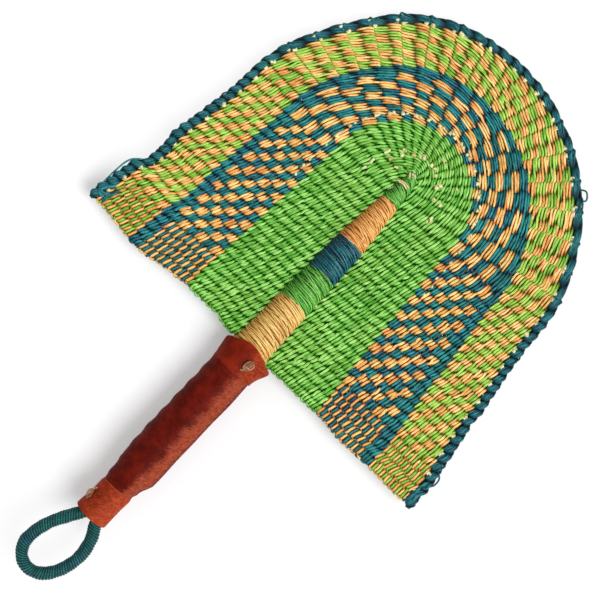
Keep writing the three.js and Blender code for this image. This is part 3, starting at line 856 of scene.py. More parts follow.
# %% Rows and colours
GREEN_ROWS = 19
TIP_ROWS = 7
CHECKER_ROWS = 18
DIVIDER_ROWS = 3
BAND_ROWS = 15
GREEN_STEPS = 7
BAND_STEPS = 8
STRIPED_STAKES = 4


def rows_between(rays, inner, outer, numbers, total):
    """Crossings of rows that lie evenly between two boundaries, of which the numbered ones are wanted."""
    share = (np.asarray(numbers) + 0.5)[:, None] / total
    return at_share(rays, inner + (outer - inner) * share)


def green_crossings(rays, numbers):
    inner = crossing_share(rays, beyond_rib, 0.0)
    outer = crossing_share(rays, beyond_row, FIELD_RADIUS)
    return rows_between(rays, inner, outer, numbers, GREEN_ROWS)


def band_crossings(rays, low, high, numbers, total):
    inner = crossing_share(rays, beyond_row, low)
    outer = crossing_share(rays, beyond_row, high)
    return rows_between(rays, inner, outer, numbers, total)


def every_other(rows, stakes, shift=0):
    return (np.arange(stakes)[None] + np.arange(rows)[:, None] * shift) % 2 == 0


def checks(rows, stakes, block=3):
    """Where each row's first strand is in front so that blocks of rows change colour together.

    The first strand of even rows has one colour and of odd rows the other. At both ends the same strand
    stays in front, which gives lines of one colour there.
    """
    row = np.arange(rows)[:, None]
    shift = (row % 2 - row // block) % 2
    front = (np.arange(stakes)[None] + shift) % 2 == 0
    front[:, :STRIPED_STAKES] = True
    front[:, -STRIPED_STAKES:] = True
    return front


def coloured(strands, first):
    """Tubes of one colour: strand 0 in every other row from the first, strand 1 in the rows between."""
    rows = (slice(first, None, 2), slice(1 - first, None, 2))
    return [as_tubes(strand, chosen) for strand, chosen in zip(strands, rows)]


def coloured_edges(strands, first):
    """Turns of one colour, whose middle lines change strands from row to row."""
    even = (np.arange(len(strands[0]["line"])) % 2 == 0)[:, None, None]
    return both_edges(np.where(even, strands[first]["line"], strands[1 - first]["line"]))


print("rows:", GREEN_ROWS, "green,", CHECKER_ROWS, "checkered,", DIVIDER_ROWS, "teal,", BAND_ROWS, "outside")

# %% [markdown]
# The innermost field is all green. Its first rows cross fewer fanned stakes, because the other ones join
# after them, so it is made in two pieces.

# %% Green field
tip_part = green_crossings(tip_rays, range(TIP_ROWS))
rest_part = green_crossings(main_rays, range(TIP_ROWS, GREEN_ROWS))
tip_strands = twined(tip_part, every_other(TIP_ROWS, len(tip_rays)), GREEN_STEPS)
rest_strands = twined(rest_part, every_other(GREEN_ROWS - TIP_ROWS, len(main_rays)), GREEN_STEPS)
green_pieces = (("green_rows", rest_strands, ("green_field",)), ("inner_green_rows", tip_strands, ()))
for name, strands, nodes in green_pieces:
    green_sets = [as_tubes(strand) for strand in strands] + plain_edges(strands)
    make_piece(name, green_sets, green_straw, replaced=nodes)

# %% [markdown]
# Round it lies the checkered band of orange and teal strands, in blocks of three rows, with a few teal
# rows after it as a divider. Each colour is a piece of its own.

# %% Checkered band
checker_total = CHECKER_ROWS + DIVIDER_ROWS
checker_part = band_crossings(main_rays, FIELD_RADIUS, CHECKER_RADIUS, range(checker_total), checker_total)
checker_front = checks(CHECKER_ROWS, len(main_rays))
checker_strands = twined(checker_part[:CHECKER_ROWS], checker_front, BAND_STEPS)
divider_front = every_other(DIVIDER_ROWS, len(main_rays), 1)
divider_strands = twined(checker_part[CHECKER_ROWS:], divider_front, BAND_STEPS)
orange_sets = coloured(checker_strands, 0)
teal_sets = coloured(checker_strands, 1) + [as_tubes(strand) for strand in divider_strands]
orange_sets += coloured_edges(checker_strands, 0)
teal_sets += coloured_edges(checker_strands, 1) + plain_edges(divider_strands)
make_piece("checker_teal_rows", teal_sets, teal_straw, replaced=("checker_band",))
make_piece("checker_orange_rows", orange_sets, orange_straw)

# %% [markdown]
# The outer band is twined in the same blocks, of orange and a yellowish green. Its rows also cross the
# short stakes, so its blocks stay narrow although the stakes fan out.

# %% Outer band
band_part = band_crossings(outer_rays, CHECKER_RADIUS, BAND_RADIUS, range(BAND_ROWS), BAND_ROWS)
band_strands = twined(band_part, checks(BAND_ROWS, len(outer_rays)), BAND_STEPS)
orange_sets, green_sets = (coloured(band_strands, first) for first in (0, 1))
orange_sets += coloured_edges(band_strands, 0)
green_sets += coloured_edges(band_strands, 1)
make_piece("outer_green_rows", green_sets, band_green_straw, replaced=("outer_band",))
make_piece("outer_orange_rows", orange_sets, orange_straw)

# %% [markdown]
# The rim closes the curved side. Two flat bundles of five straws each are plaited round the stakes'
# ends: over one gap a bundle lies in front, fanned out flat, and over the next it dives behind while
# the other one comes up. In front its straws slant outwards, so the rim looks like a row of lumps.

# %% Rim braid
RIM_WIDTH = 5.4
RIM_SWELL = 1.2
RIM_STRAWS = 5
RIM_HEIGHT = 1.7
RIM_SWING = 1.2
RIM_PILE = 0.4
RIM_STRAY = 0.2
RIM_STRAW_GAP = 0.92
RIM_STRAW_HALF = 0.62
RIM_STEPS = 12


def rim_strands():
    """Straws of both bundles: each bundle swings as a row's strand does, its straws side by side.

    In front the straws lie a straw's width apart. Where the bundle dives they bunch up, one above the
    other. The whole braid grows towards the two corners of the straight edge.
    """
    stakes = len(outer_rays)
    u = np.linspace(-0.75, stakes - 0.25, int((stakes + 0.5) * RIM_STEPS) + 1)
    middle_radius = BAND_RADIUS + CLEARANCE + RIM_WIDTH / 2
    crossings = at_share(outer_rays, crossing_share(outer_rays, beyond_row, middle_radius))
    path, out, _ = row_frame(np.repeat(crossings, 2, axis=0), u)
    half = (stakes - 1) / 2
    size = 1 + (RIM_SWELL - 1) * np.abs(u - half) / half
    size = size * (0.3 + 0.7 * smooth((half + 0.8 - np.abs(u - half)) / 0.7))
    stitch = np.clip(np.floor(u + 0.5).astype(int), 0, stakes - 1)
    stray = randoms.normal(0, RIM_STRAY, (2, stakes))
    sets = []
    for bundle in (0, 1):
        swing = np.pi * (u + bundle) - 0.15 * np.sin(2 * np.pi * u)
        front = np.abs(np.cos(swing))
        for number in range(RIM_STRAWS):
            place = number - (RIM_STRAWS - 1) / 2
            loose = 1 + 0.1 * randoms.normal(0, 1, stakes)[stitch]
            aside = RIM_SWING * np.sin(swing) + place * RIM_STRAW_GAP * (0.6 + 0.4 * front) * loose
            aside = aside + stray[bundle][stitch] * front
            height = RIM_HEIGHT * np.sign(np.cos(swing)) * front**0.6 + RIM_PILE * place * (1 - front)
            height = height + 0.22 * randoms.normal(0, 1, stakes)[stitch] * front
            line = laid(path[:1] + out[:1] * (aside * size)[None, :, None], (height * size)[None])
            wide = RIM_STRAW_HALF * size * randoms.uniform(0.85, 1.1, stakes)[stitch]
            rings = sweep(line, UP, wide[None], (RIM_STRAW_HALF * size)[None], oval(6))
            shade = np.clip(randoms.uniform(0, 1, stakes)[stitch] * 0.6 + randoms.uniform(0, 0.4), 0, 1)
            # Lift falls where the bundle dives, so shade is painted into the gaps between lumps, and the
            # straws' edges are painted darker.
            sets.append(tubes(rings, shade=shade[None], lift=crowned(0.35 + 0.65 * front[None], oval(6))))
    return sets


make_piece("rim_plait", rim_strands(), rim_straw, replaced=("rim_braid",))

# %% [markdown]
# At both ends of the straight edge the rim's bundles are tied off in short tails. A few straws have
# worked loose along it: they stand off the rim in flat bows. Each is a curve through a few points.

# %% Rim tails and loose straws
RIM_TAILS = (
    ((-130.5, 15, 0.8), (-133.8, 10, 1.8), (-136.8, 5.0, 1.6), (-137.4, 1.6, 0.8)),
    ((-127.0, 13, 1.2), (-129.4, 8, 2.2), (-131.0, 3.6, 1.8), (-130.4, 0.4, 0.8)),
    ((-131.5, 12, -0.6), (-135.8, 9, 0.8), (-137.0, 6.0, 1.8), (-134.6, 3.6, 2.6), (-131.4, 4.0, 2.4)),
    ((-128.2, 9, 0.6), (-131.2, 6.2, 2.8), (-134.2, 5.0, 2.8), (-136.6, 5.8, 1.4)),
    ((133.0, 13, 0.8), (134.6, 8, 2.0), (134.4, 3.4, 1.8), (132.8, -0.4, 0.6)),
    ((136.0, 11, 0.2), (137.2, 7, 1.6), (136.8, 3.0, 1.2), (135.0, -0.6, 0.2)),
)
LOOSE_STRAWS = (
    ((-131.4, 41, 1.6), (-135.6, 33, 2.2), (-137.8, 20, 2.2), (-138.0, 8, 1.4)),
    ((79.4, 211.6, 1.0), (83.6, 213.4, 1.8), (87.0, 209.2, 1.8), (84.0, 206.6, 1.0)),
    ((134.6, 26, 1.0), (137.8, 23.4, 1.6), (138.2, 18.6, 1.4), (135.8, 15, 0.4)),
)
TAIL_HALF = 1.5
LOOSE_HALF = 0.6
CURVE_OUT = np.array([0.0, 0.2, 1.0])


def straw_curve(points, between, steps, out, wide, thick, thin, power, shade):
    """One straw along a smooth curve through a few points, in even steps, with thinner ends.

    The curve is first found with a number of steps between two points. Thin is the share by which the
    ends are thinner, and a higher power keeps the thinning closer to them.
    """
    path, _ = evenly(route_curve(points, between), steps)
    taper = 1 - thin * np.abs(np.linspace(-1, 1, steps)) ** power
    rings = sweep(path[None], out, (wide * taper)[None], (thick * taper)[None], oval(8))
    return tubes(rings, shade=shade, lift=crowned(1.0, oval(8)))


def straw_curves(lines, half):
    """Single straws of the blade, each through its own points."""
    return [
        straw_curve(
            handmade(np.array(points, dtype=float)), between=10, steps=30, out=CURVE_OUT,
            wide=half, thick=half * 0.8, thin=0.4, power=5, shade=randoms.uniform(0.1, 0.9),
        )
        for points in lines
    ]


rim_ends = straw_curves(RIM_TAILS, TAIL_HALF) + straw_curves(LOOSE_STRAWS, LOOSE_HALF)
make_piece("rim_tails", rim_ends, rim_straw)

# %% [markdown]
# The stakes are undyed straws. They run hidden under the rows, and only their cut ends show: at the
# rim's inner edge, in an arc round the rib's tip where extra stakes join, and at the edge of the green
# field where the short ones are pushed in. Each is a thin tube along its own ray that stays in the
# middle of the weave and comes up to the front over its last few millimetres. A short stake first lies
# close beside its fanned neighbour, under the same stitches, and parts from it in the outer band.

# %% Stakes
STAKE_RADIUS = 0.75
STAKE_RISE = 2.1
STAKE_RISE_LENGTH = 2.8
STAKE_OUT = np.array([0.2, 0.0, 1.0])
STAKE_STEPS = 60
STAKE_PLACES = 40
END_SWELL = 0.7
END_RADIUS = BAND_RADIUS + 0.7
HIDDEN_END_RADIUS = BAND_RADIUS - 0.5
IN_RIB = 0.7
IN_TIP = 0.02
SHORT_START_RADIUS = 51.5
SHORT_PART_RADIUS = 80
SHORT_PART_LENGTH = 12
BESIDE = 2.1


def end_rise(path, start_up, end_up):
    """1 at the marked ends of flat paths, falling to 0 in an S curve over their last millimetres."""
    reach = np.cumsum(np.linalg.norm(np.diff(path, axis=1), axis=-1), axis=1)
    reach = np.concatenate([np.zeros((len(path), 1)), reach], axis=1)
    from_end = reach[:, -1:] - reach
    rise = start_up[:, None] * (1 - smooth(reach / STAKE_RISE_LENGTH))
    return rise + end_up[:, None] * (1 - smooth(from_end / STAKE_RISE_LENGTH))


def stake_tubes(path, start_up, end_up):
    """Round tubes along flat paths, with more steps at the ends, which rise and swell where marked."""
    count = path.shape[1]
    at = np.linspace(0, count - 1, STAKE_STEPS)
    at = (count - 1) * (0.5 - 0.5 * np.cos(np.pi * at / (count - 1))) * 0.35 + at * 0.65
    index = np.clip(np.floor(at).astype(int), 0, count - 2)
    share = (at - index)[None, :, None]
    fine = path[:, index] * (1 - share) + path[:, index + 1] * share
    rise = end_rise(fine, start_up, end_up)
    line = laid(fine, STAKE_RISE * rise)
    radius = STAKE_RADIUS * randoms.uniform(0.85, 1.15, (len(line), 1)) * (1 + END_SWELL * rise)
    rings = sweep(line, STAKE_OUT, radius * 1.1, radius * 0.9, oval(8))
    return tubes(rings, shade=randoms.uniform(0, 1, (len(line), 1)))


def both_sides(rays):
    return np.concatenate([rays, mirror(rays)])


def straight_paths(rays, start, end):
    """Flat paths along each ray, from one share of it to another."""
    share = np.linspace(0, 1, STAKE_PLACES)[:, None]
    return at_share(rays, start * (1 - share) + end * share).transpose(1, 0, 2)


def long_stakes(rays, start, shown):
    """Stakes from a share of each ray to the rim. Shown ones come up there, the others stay hidden."""
    hidden_end, shown_end = crossing_share(rays, beyond_row, [HIDDEN_END_RADIUS, END_RADIUS])
    paths = straight_paths(rays, start, np.where(shown, shown_end, hidden_end))
    return stake_tubes(paths, np.zeros(len(rays)), shown)


def level_stakes():
    """Stakes on both sides of the rib, of which every other one shows its end."""
    number = np.tile(np.arange(SIDE_STAKES), 2)
    start = bundle_section(FIRST_STAKE + STAKE_PITCH * number)[0] * IN_RIB / FAN_RADIUS
    return long_stakes(both_sides(np.array(levels)), start, number % 2)


def tip_stakes():
    """Fanned stakes that start in the bundle's tip."""
    rays = np.array([fanned_ray(number) for number in tip_fanned])
    rays = np.concatenate([rays, mirror(rays[:-1])])
    return long_stakes(rays, IN_TIP, np.ones(len(rays)))


def inserted_stakes():
    """Extra fanned stakes that join after the innermost rows, with their ends up on the front."""
    rays = both_sides(np.array([fanned_ray(n) for n in every_fanned if n not in tip_fanned]))
    inner = crossing_share(rays, beyond_rib, 0.0)[0]
    field, end = crossing_share(rays, beyond_row, [FIELD_RADIUS, END_RADIUS])
    start = inner + (field - inner) * (TIP_ROWS - 0.6) / GREEN_ROWS
    return stake_tubes(straight_paths(rays, start, end), np.ones(len(rays)), np.ones(len(rays)))


def short_stakes():
    """Short stakes: beside the fanned neighbour first, then on their own ray in the outer band."""
    radii = np.linspace(SHORT_START_RADIUS, END_RADIUS, STAKE_PLACES)
    main = np.array([fanned_ray(number) for number in every_fanned])
    own = np.array([short_ray(number) for number in every_fanned])
    beside, apart = (
        at_share(rays, crossing_share(rays, beyond_row, radii)).transpose(1, 0, 2) for rays in (main, own)
    )
    run = unit(main[:, 1] - main[:, 0])
    beside = beside + np.stack([run[:, 1], -run[:, 0]], axis=-1)[:, None] * BESIDE
    share = smooth((radii - SHORT_PART_RADIUS) / SHORT_PART_LENGTH)[None, :, None]
    paths = both_sides(beside * (1 - share) + apart * share)
    return stake_tubes(paths, np.ones(len(paths)), np.ones(len(paths)))


# %% [markdown]
# Cut ends of straws show round the rib's tip, beside the rib and along two rows. They look like pale
# dots and dashes. Each is a short stub with a little chance in its place and direction.

# %% Cut ends
CUT_TURN = 0.45
CUT_STRAY = 0.35
CUT_LOW = 0.6
CUT_RISE = 1.7


def cut_ends(places, along, radius, length):
    """Short round stubs that come up out of the weave at flat places, lying along a direction.

    Each starts below the surface, rises in an S curve and ends bluntly. Direction, size and place are a
    little random.
    """
    count = len(places)
    turn = np.arctan2(along[:, 1], along[:, 0]) + randoms.normal(0, CUT_TURN, count)
    turn = turn + np.pi * randoms.integers(0, 2, count)
    heading = np.stack([np.cos(turn), np.sin(turn)], axis=-1)
    reach = length * randoms.uniform(0.75, 1.25, count)
    share = np.linspace(-0.5, 0.5, 9)
    middle = places + randoms.normal(0, CUT_STRAY, (count, 2))
    flat = middle[:, None] + heading[:, None] * (reach[:, None] * share)[..., None]
    height = CUT_LOW + CUT_RISE * smooth(share + 0.5)[None] + randoms.uniform(-0.2, 0.3, (count, 1))
    line = laid(flat, height)
    size = radius * randoms.uniform(0.8, 1.2, (count, 1)) * (1 - 0.35 * np.abs(2 * share) ** 4)
    rings = sweep(line, UP, size, size * 0.75, oval(8))
    return tubes(rings, shade=randoms.uniform(0, 1, (count, 1)))


TIP_END_STEP = 12.4
TIP_END_PAIR = 2.5
TIP_END_RADII = (25.5, 26.4)
TIP_END_CENTRE = 134.0
SINGLE_TIP_ENDS = ((10, 33.0), (44, 35.0), (-48, 15.0), (97, 25.0), (-99, 26.5))
RIB_END_STAKES = (7, 8, 9, 10, 11, 13)
RIB_END_OFFSET = 2.6


def ends_round_tip():
    """A pair of cut ends where each joined stake starts, and single ones further out and nearer in."""
    joined = TIP_END_STEP * np.arange(7, -8, -2)
    single, single_radius = np.array(SINGLE_TIP_ENDS).T
    angle = np.radians(np.concatenate([joined, joined + TIP_END_PAIR, single]))
    radius = np.concatenate([np.repeat(TIP_END_RADII, len(joined)), single_radius])
    places = np.stack([radius * np.sin(angle), TIP_END_CENTRE + radius * np.cos(angle)], axis=-1)
    along = np.stack([np.cos(angle), -np.sin(angle)], axis=-1)
    return cut_ends(places, along, radius=0.95, length=3.0)


def ends_at_rib():
    """Small ends at the rib's right side, where the stakes come out of the winding."""
    height = FIRST_STAKE + STAKE_PITCH * np.array(RIB_END_STAKES)
    places = np.stack([bundle_section(height)[0] + RIB_END_OFFSET, height], axis=-1)
    return cut_ends(places, np.tile([1.0, 0.3], (len(height), 1)), radius=0.7, length=2.2)


def ends_along_row(rays, row, radius, length):
    """Ends beside the stakes along one row."""
    places = at_share(rays, crossing_share(rays, beyond_row, row))[0]
    along = unit(np.roll(places, -1, axis=0) - np.roll(places, 1, axis=0))
    return cut_ends(places[1:-1], along[1:-1], radius, length)


# %% [markdown]
# The handle is a bundle of the same straws, packed in rings round the middle one. It fills the winding
# and the leather, and its cut straws show at the handle's mouth. The longest reach the rib's tip.

# %% Bundle
STRAW_RINGS = 4
STRAW_TOPS = (POINT_Y, 141, 124, 118, 112)
STRAW_LOW = -138
STRAW_FILL = 0.95
TOP_STAGGER = 5
LOW_STAGGER = 1.6
STRAW_STEPS = 40
LOW_STAKES = 14


def bundle_straws():
    """Straws packed in rings of six, twelve and so on, drawn in where the bundle narrows."""
    seats, ring_of = [(0.0, 0.0)], [0]
    for ring in range(1, STRAW_RINGS + 1):
        for number in range(6 * ring):
            angle = 2 * np.pi * number / (6 * ring) + ring
            seats.append((ring * np.cos(angle), ring * np.sin(angle)))
            ring_of.append(ring)
    seats, ring_of = np.array(seats) / (STRAW_RINGS + 0.5), np.array(ring_of)
    tops = np.array(STRAW_TOPS)[ring_of] - randoms.uniform(0, TOP_STAGGER, len(seats)) * (ring_of > 0)
    lows = STRAW_LOW + randoms.uniform(0, LOW_STAGGER, len(seats))
    share = np.linspace(0, 1, STRAW_STEPS)
    y = lows[:, None] + (tops - lows)[:, None] * share
    wide, high, shift = bundle_section(y)
    path = np.stack([shift + seats[:, :1] * wide, y, seats[:, 1:] * high], axis=-1)
    half = STRAW_FILL / (STRAW_RINGS + 0.5) / 2
    rings = sweep(path, UP, wide * half, high * half, oval(6))
    return tubes(rings, shade=randoms.uniform(0, 1, (len(path), 1)))


bundle_sets = [bundle_straws(), level_stakes(), tip_stakes()]
make_piece("bundle_straws", bundle_sets, cream_straw, replaced=("handle_bundle",))
joined_sets = [
    inserted_stakes(),
    ends_round_tip(),
    ends_at_rib(),
    ends_along_row(outer_rays[1::2], BAND_RADIUS + 0.4, radius=1.1, length=3.0),
    ends_along_row(main_rays[LOW_STAKES:-LOW_STAKES], FIELD_RADIUS + 5.2, radius=0.85, length=2.6),
]
make_piece("joined_tip_stakes", joined_sets, cream_straw)
short_names = [f"short_stake_{number:02d}" for number in range(1, 21)]
make_piece("short_stakes", [short_stakes()], cream_straw, replaced=short_names)

# %% [markdown]
# A few bits of the bundle's straws are left over at the rib's tip: some lie across its last turns, and
# one stands out of its point.

# %% Straws at the tip
TIP_STRAWS = (
    ((-6.6, 137.6, 3.0), (-4.4, 139.2, 4.6), (-1.4, 139.9, 5.3), (1.2, 139.6, 5.4), (2.6, 139.0, 5.1)),
    ((-5.0, 138.0, 4.2), (-3.0, 138.6, 5.2), (-0.4, 138.6, 5.8), (2.0, 137.8, 5.5)),
    ((-1.4, 144.0, 3.4), (-2.2, 145.2, 3.8), (-3.1, 146.6, 3.4), (-3.6, 147.4, 2.4)),
)
TIP_STRAW_HALF = 0.62
make_piece("tip_straws", straw_curves(TIP_STRAWS, TIP_STRAW_HALF), cream_straw)

# %% [markdown]
# The rib is the bundle wound tightly with one doubled straw at a time: yellow at the root, then green,
# teal, orange, and green again at the tip. Each winding is a tight helix on the bundle's oval section
# with thinner straws laid over it several at a time, which therefore slant. Turns are uneven on a
# handmade fan, so they wander in pitch and width.

# %% Rib windings
rib_yellow = straw_material(
    "yellow_straw", (136, 82, 32), (236, 180, 84), (255, 240, 164), (214, 148, 68), 0.45
)
rib_orange = straw_material(
    "rib_orange_straw", (140, 76, 30), (234, 156, 72), (255, 222, 142), (224, 138, 64), 0.45
)
rib_green = straw_material(
    "rib_green_straw", (10, 62, 8), (78, 164, 44), (160, 228, 116), (60, 142, 40), 0.42
)
rib_teal = straw_material(
    "rib_teal_straw", (0, 22, 32), (0, 74, 88), (60, 156, 156), (0, 60, 84), 0.42
)
RIB_BANDS = (
    ("yellow_turns", "straw_winding", 29, -4.3, 38.4, rib_yellow, "yellow_straw"),
    ("green_turns", "green_winding", 17, 38.4, 63.2, rib_green, "green_straw"),
    ("teal_turns", "teal_winding", 17, 63.2, 89.3, rib_teal, "teal_straw"),
    ("orange_turns", "orange_winding", 24, 89.3, 124.6, rib_orange, "orange_straw"),
    ("tip_turns", "tip_winding", 14, 124.6, 145.2, rib_green, "green_straw"),
)
RIB_SEAT = 0.85
RIB_BOW = 1.5
RIB_STEPS = 28
# Each layer's lift sets its painted shade: the tight layer underneath is painted darker than the straws laid
# over it.
RIB_LAYERS = (
    dict(starts=1, share_of_turns=1, inset=0, proud=0, wander=0.3, half=0.74, tones=(0, 0.5), lift=0.48),
    dict(starts=9, share_of_turns=1.45, inset=0, proud=0.3, wander=1.1, half=0.38, tones=(0, 1), lift=0.9),
    dict(starts=7, share_of_turns=0.8, inset=0.4, proud=0.6, wander=2, half=0.33, tones=(0.2, 1), lift=1),
)
RANDOM_PER_TURN = 5
STRAW_THICKNESS = 0.5


def rib_winding(turns, low, high, starts, share_of_turns, inset, proud, wander, half, tones, lift):
    """Helices side by side on the bundle that bow towards the tip in front and wander a little.

    Together they make a share of the band's turns, so more starts slant more. The height grows steadily
    with the angle. The wandering, the seat, the width and the tone are random numbers given a few times
    a turn, with straight lines between them.
    """
    low, high = low + inset, high - inset
    own = turns * share_of_turns / starts
    at_turn = np.linspace(0, own, int(own * RIB_STEPS) + 1)
    knot = np.floor(at_turn * RANDOM_PER_TURN).astype(int)
    share = at_turn * RANDOM_PER_TURN - knot

    def uneven(least, most):
        values = randoms.uniform(least, most, (starts, knot[-1] + 2))
        return values[:, knot] * (1 - share) + values[:, knot + 1] * share

    angle = 2 * np.pi * (at_turn + np.arange(starts)[:, None] / starts)
    bow = RIB_BOW * np.maximum(0, np.sin(angle)) ** 1.5
    y = np.clip(low + (high - low) * at_turn / own + uneven(-wander, wander), low, high) + bow
    wide, tall, shift = bundle_section(y)
    seat = RIB_SEAT + proud + uneven(-0.16, 0.16)
    path = np.stack([shift + (wide + seat) * np.cos(angle), y, (tall + seat) * np.sin(angle)], axis=-1)
    out = np.stack([np.cos(angle) / wide, 0 * angle, np.sin(angle) / tall], axis=-1)
    rings = sweep(path, out, half * uneven(0.8, 1.2), STRAW_THICKNESS, DOUBLED)
    # Painted shade: lift is lower on the bundle's left side, away from the sun, so the finish darkens it
    # there.
    painted_side_shade = 0.78 + 0.22 * smooth((np.cos(angle) + 0.8) / 0.9)
    return tubes(rings, shade=uneven(*tones), lift=crowned(lift * painted_side_shade, DOUBLED))


for name, node, turns, low, high, material, slot in RIB_BANDS:
    layers = [rib_winding(turns, low, high, **layer) for layer in RIB_LAYERS]
    make_piece(name, layers, material, replaced=(node,))

# %% [markdown]
# The grip is wrapped in thin leather, dark and a little glossy, and paler in a band on its upper right:
# partly worn by the hand, partly a painted highlight of the light from the right. Lighter collars cover both
# ends of it, their right sides painted paler as if lit from there. Each is a closed shell: the wall's own
# section runs up the outside, over the top edge and down the inside, and is carried round the bundle. Waves
# of a few tenths of a millimetre make the leather look pulled over straws, and grain and mottling come from
# the finish.

# %% Shared leather group
CLOUD_SCALE = 130.0
FLECK_SCALE = 420.0
GRAIN_SCALE = 1500.0
STREAK_TURN = 0.5
STREAK_SIZE = (0.0026, 0.0008, 0.0026)
LEATHER_BUMP = (0.4, 0.0003)
LEATHER_GLOSS = 0.05


def leather_group():
    """Colour, height and roughness of leather. Shade marks where it is paler by wear and painted highlight,
    lift 0 a cut edge.
    """
    inputs = {"Deep": "colour", "Leather": "colour", "Worn and highlit": "colour", "Cut edge": "colour"}
    outputs = {"Colour": "colour", "Height": "value", "Roughness": "value"}
    tree, given, result = new_group("leather_wear_and_highlight", inputs, outputs)
    wear_and_highlight, whole = point_value(tree, "shade"), point_value(tree, "lift")
    place = object_place(tree)
    cloud = noise(tree, place, CLOUD_SCALE, 5.0, 0.66)
    fleck = noise(tree, place, FLECK_SCALE, 4.0, 0.6)
    turned = {"Vector": place, "Rotation": (0, 0, STREAK_TURN), "Scale": STREAK_SIZE}
    along = add_node(tree, "ShaderNodeMapping", turned, vector_type="TEXTURE").outputs[0]
    streak = noise(tree, along, 1.0, 5.0)
    cells = {"Vector": place, "Scale": GRAIN_SCALE}
    grain = add_node(tree, "ShaderNodeTexVoronoi", cells).outputs["Distance"]
    base = blend_colour(tree, ramp(tree, cloud, 0.34, 0.66), given["Deep"], given["Leather"])
    uneven = calculate(tree, "MULTIPLY", streak, 1.4)
    # Where shade is high the colour turns paler: worn leather, and on the sleeve's upper right and the
    # collars' right sides a painted highlight.
    spots = ramp(tree, calculate(tree, "ADD", wear_and_highlight, uneven), 0.95, 2.1)
    worn_and_highlit = blend_colour(tree, spots, base, given["Worn and highlit"])
    mottled = blend_colour(tree, ramp(tree, fleck, 0.42, 0.66, 0.0, 0.36), worn_and_highlit, given["Deep"])
    cut = ramp(tree, whole, 0.0, 1.0, 1.0, 0.0)
    tree.links.new(blend_colour(tree, cut, mottled, given["Cut edge"]), result["Colour"])
    height = calculate(tree, "ADD", calculate(tree, "MULTIPLY", grain, 0.35), fleck)
    tree.links.new(height, result["Height"])
    tree.links.new(ramp(tree, fleck, 0.3, 0.7, 0.45, 0.65), result["Roughness"])
    return tree


LEATHER = leather_group()


def leather_material(name, deep, leather, wear_and_highlight, cut_edge):
    return group_material(name, LEATHER, (deep, leather, wear_and_highlight, cut_edge), LEATHER_BUMP, LEATHER_GLOSS)


brown_leather = leather_material("brown_leather", (78, 12, 5), (108, 24, 10), (166, 76, 50), (110, 36, 20))
red_leather = leather_material("red_leather", (102, 22, 8), (136, 36, 14), (184, 78, 44), (166, 80, 52))
print("leather group:", len(LEATHER.nodes), "nodes, shared by the sleeve and both collars")

# %% [markdown]
# The sleeve covers the grip from the upper collar to the mouth. It lies in scallops on the left, in
# slanting folds on the right, and laps over itself underneath. Its relief is a sum of waves over angle
# and height, since folds in thin leather are soft and shallow.

# %% Leather sleeve
SLEEVE_ENDS = (-137.6, -2.4)
SLEEVE_OFFSET = 0.3
SLEEVE_THICKNESS = 1.0
SLEEVE_COUNTS = (300, 160)


def wall_section(ends, thickness, steps):
    """Heights and depths once round the wall's own section, and 1 where its pale upper edge is."""
    low, high = ends
    rise = np.linspace(low, high, steps)
    bend = np.linspace(0, np.pi, 7)[1:-1]
    half = thickness / 2
    height = np.concatenate([rise, high + half * np.sin(bend), rise[::-1], low - half * np.sin(bend)])
    outside, inside = np.full(steps, thickness), np.zeros(steps)
    depth = np.concatenate([outside, half + half * np.cos(bend), inside, half - half * np.cos(bend)])
    cut = np.zeros(len(height))
    cut[steps:steps + len(bend)] = 1
    return height, depth, cut


def leather_shell(ends, offset, thickness, counts, relief, wear_and_highlight, edge=None):
    """A wall carried round the bundle, with counts of steps up its outside and round it.

    relief(angle, y) raises its outside, and the function after it says how much paler each point is, by wear
    and painted highlight.
    edge(angle, y) gives the sideways and lengthways moves of a point, so that an edge can arch or flare.
    """
    steps, around = counts
    height, depth, cut = wall_section(ends, thickness, steps)
    angle, y = np.meshgrid(2 * np.pi * np.arange(around) / around, height)
    raised = relief(angle, y) * (depth[:, None] / thickness)
    wide, tall, shift = bundle_section(y)
    proud = offset + depth[:, None] + raised
    x, z = shift + (wide + proud) * np.cos(angle), (tall + proud) * np.sin(angle)
    if edge:
        aside, ahead = edge(angle, y)
        x, y = x + aside, y + ahead
    rings = np.stack([x, y, z], axis=-1)[None]
    return tubes(rings, closed=True, shade=wear_and_highlight(angle, y)[None], lift=(1 - cut)[None])


def degrees_from(angle, centre):
    """How far an angle lies from a direction, in degrees, between -180 and 180."""
    return (np.degrees(angle) - centre + 180) % 360 - 180


SCALLOP_DEPTH = 0.32
SCALLOP_PITCH = 12.5
GRIP_RADIUS = 13.5
FOLD_SIDE = 45
FOLD_SPREAD = 34
FOLDS = ((0.1, 0.5, 4.3, 0), (0.07, 0.9, 2.6, 1))
SEAM_SIDE = 268
SEAM_LAP = 0.6
SEAM_WIDTH = 60


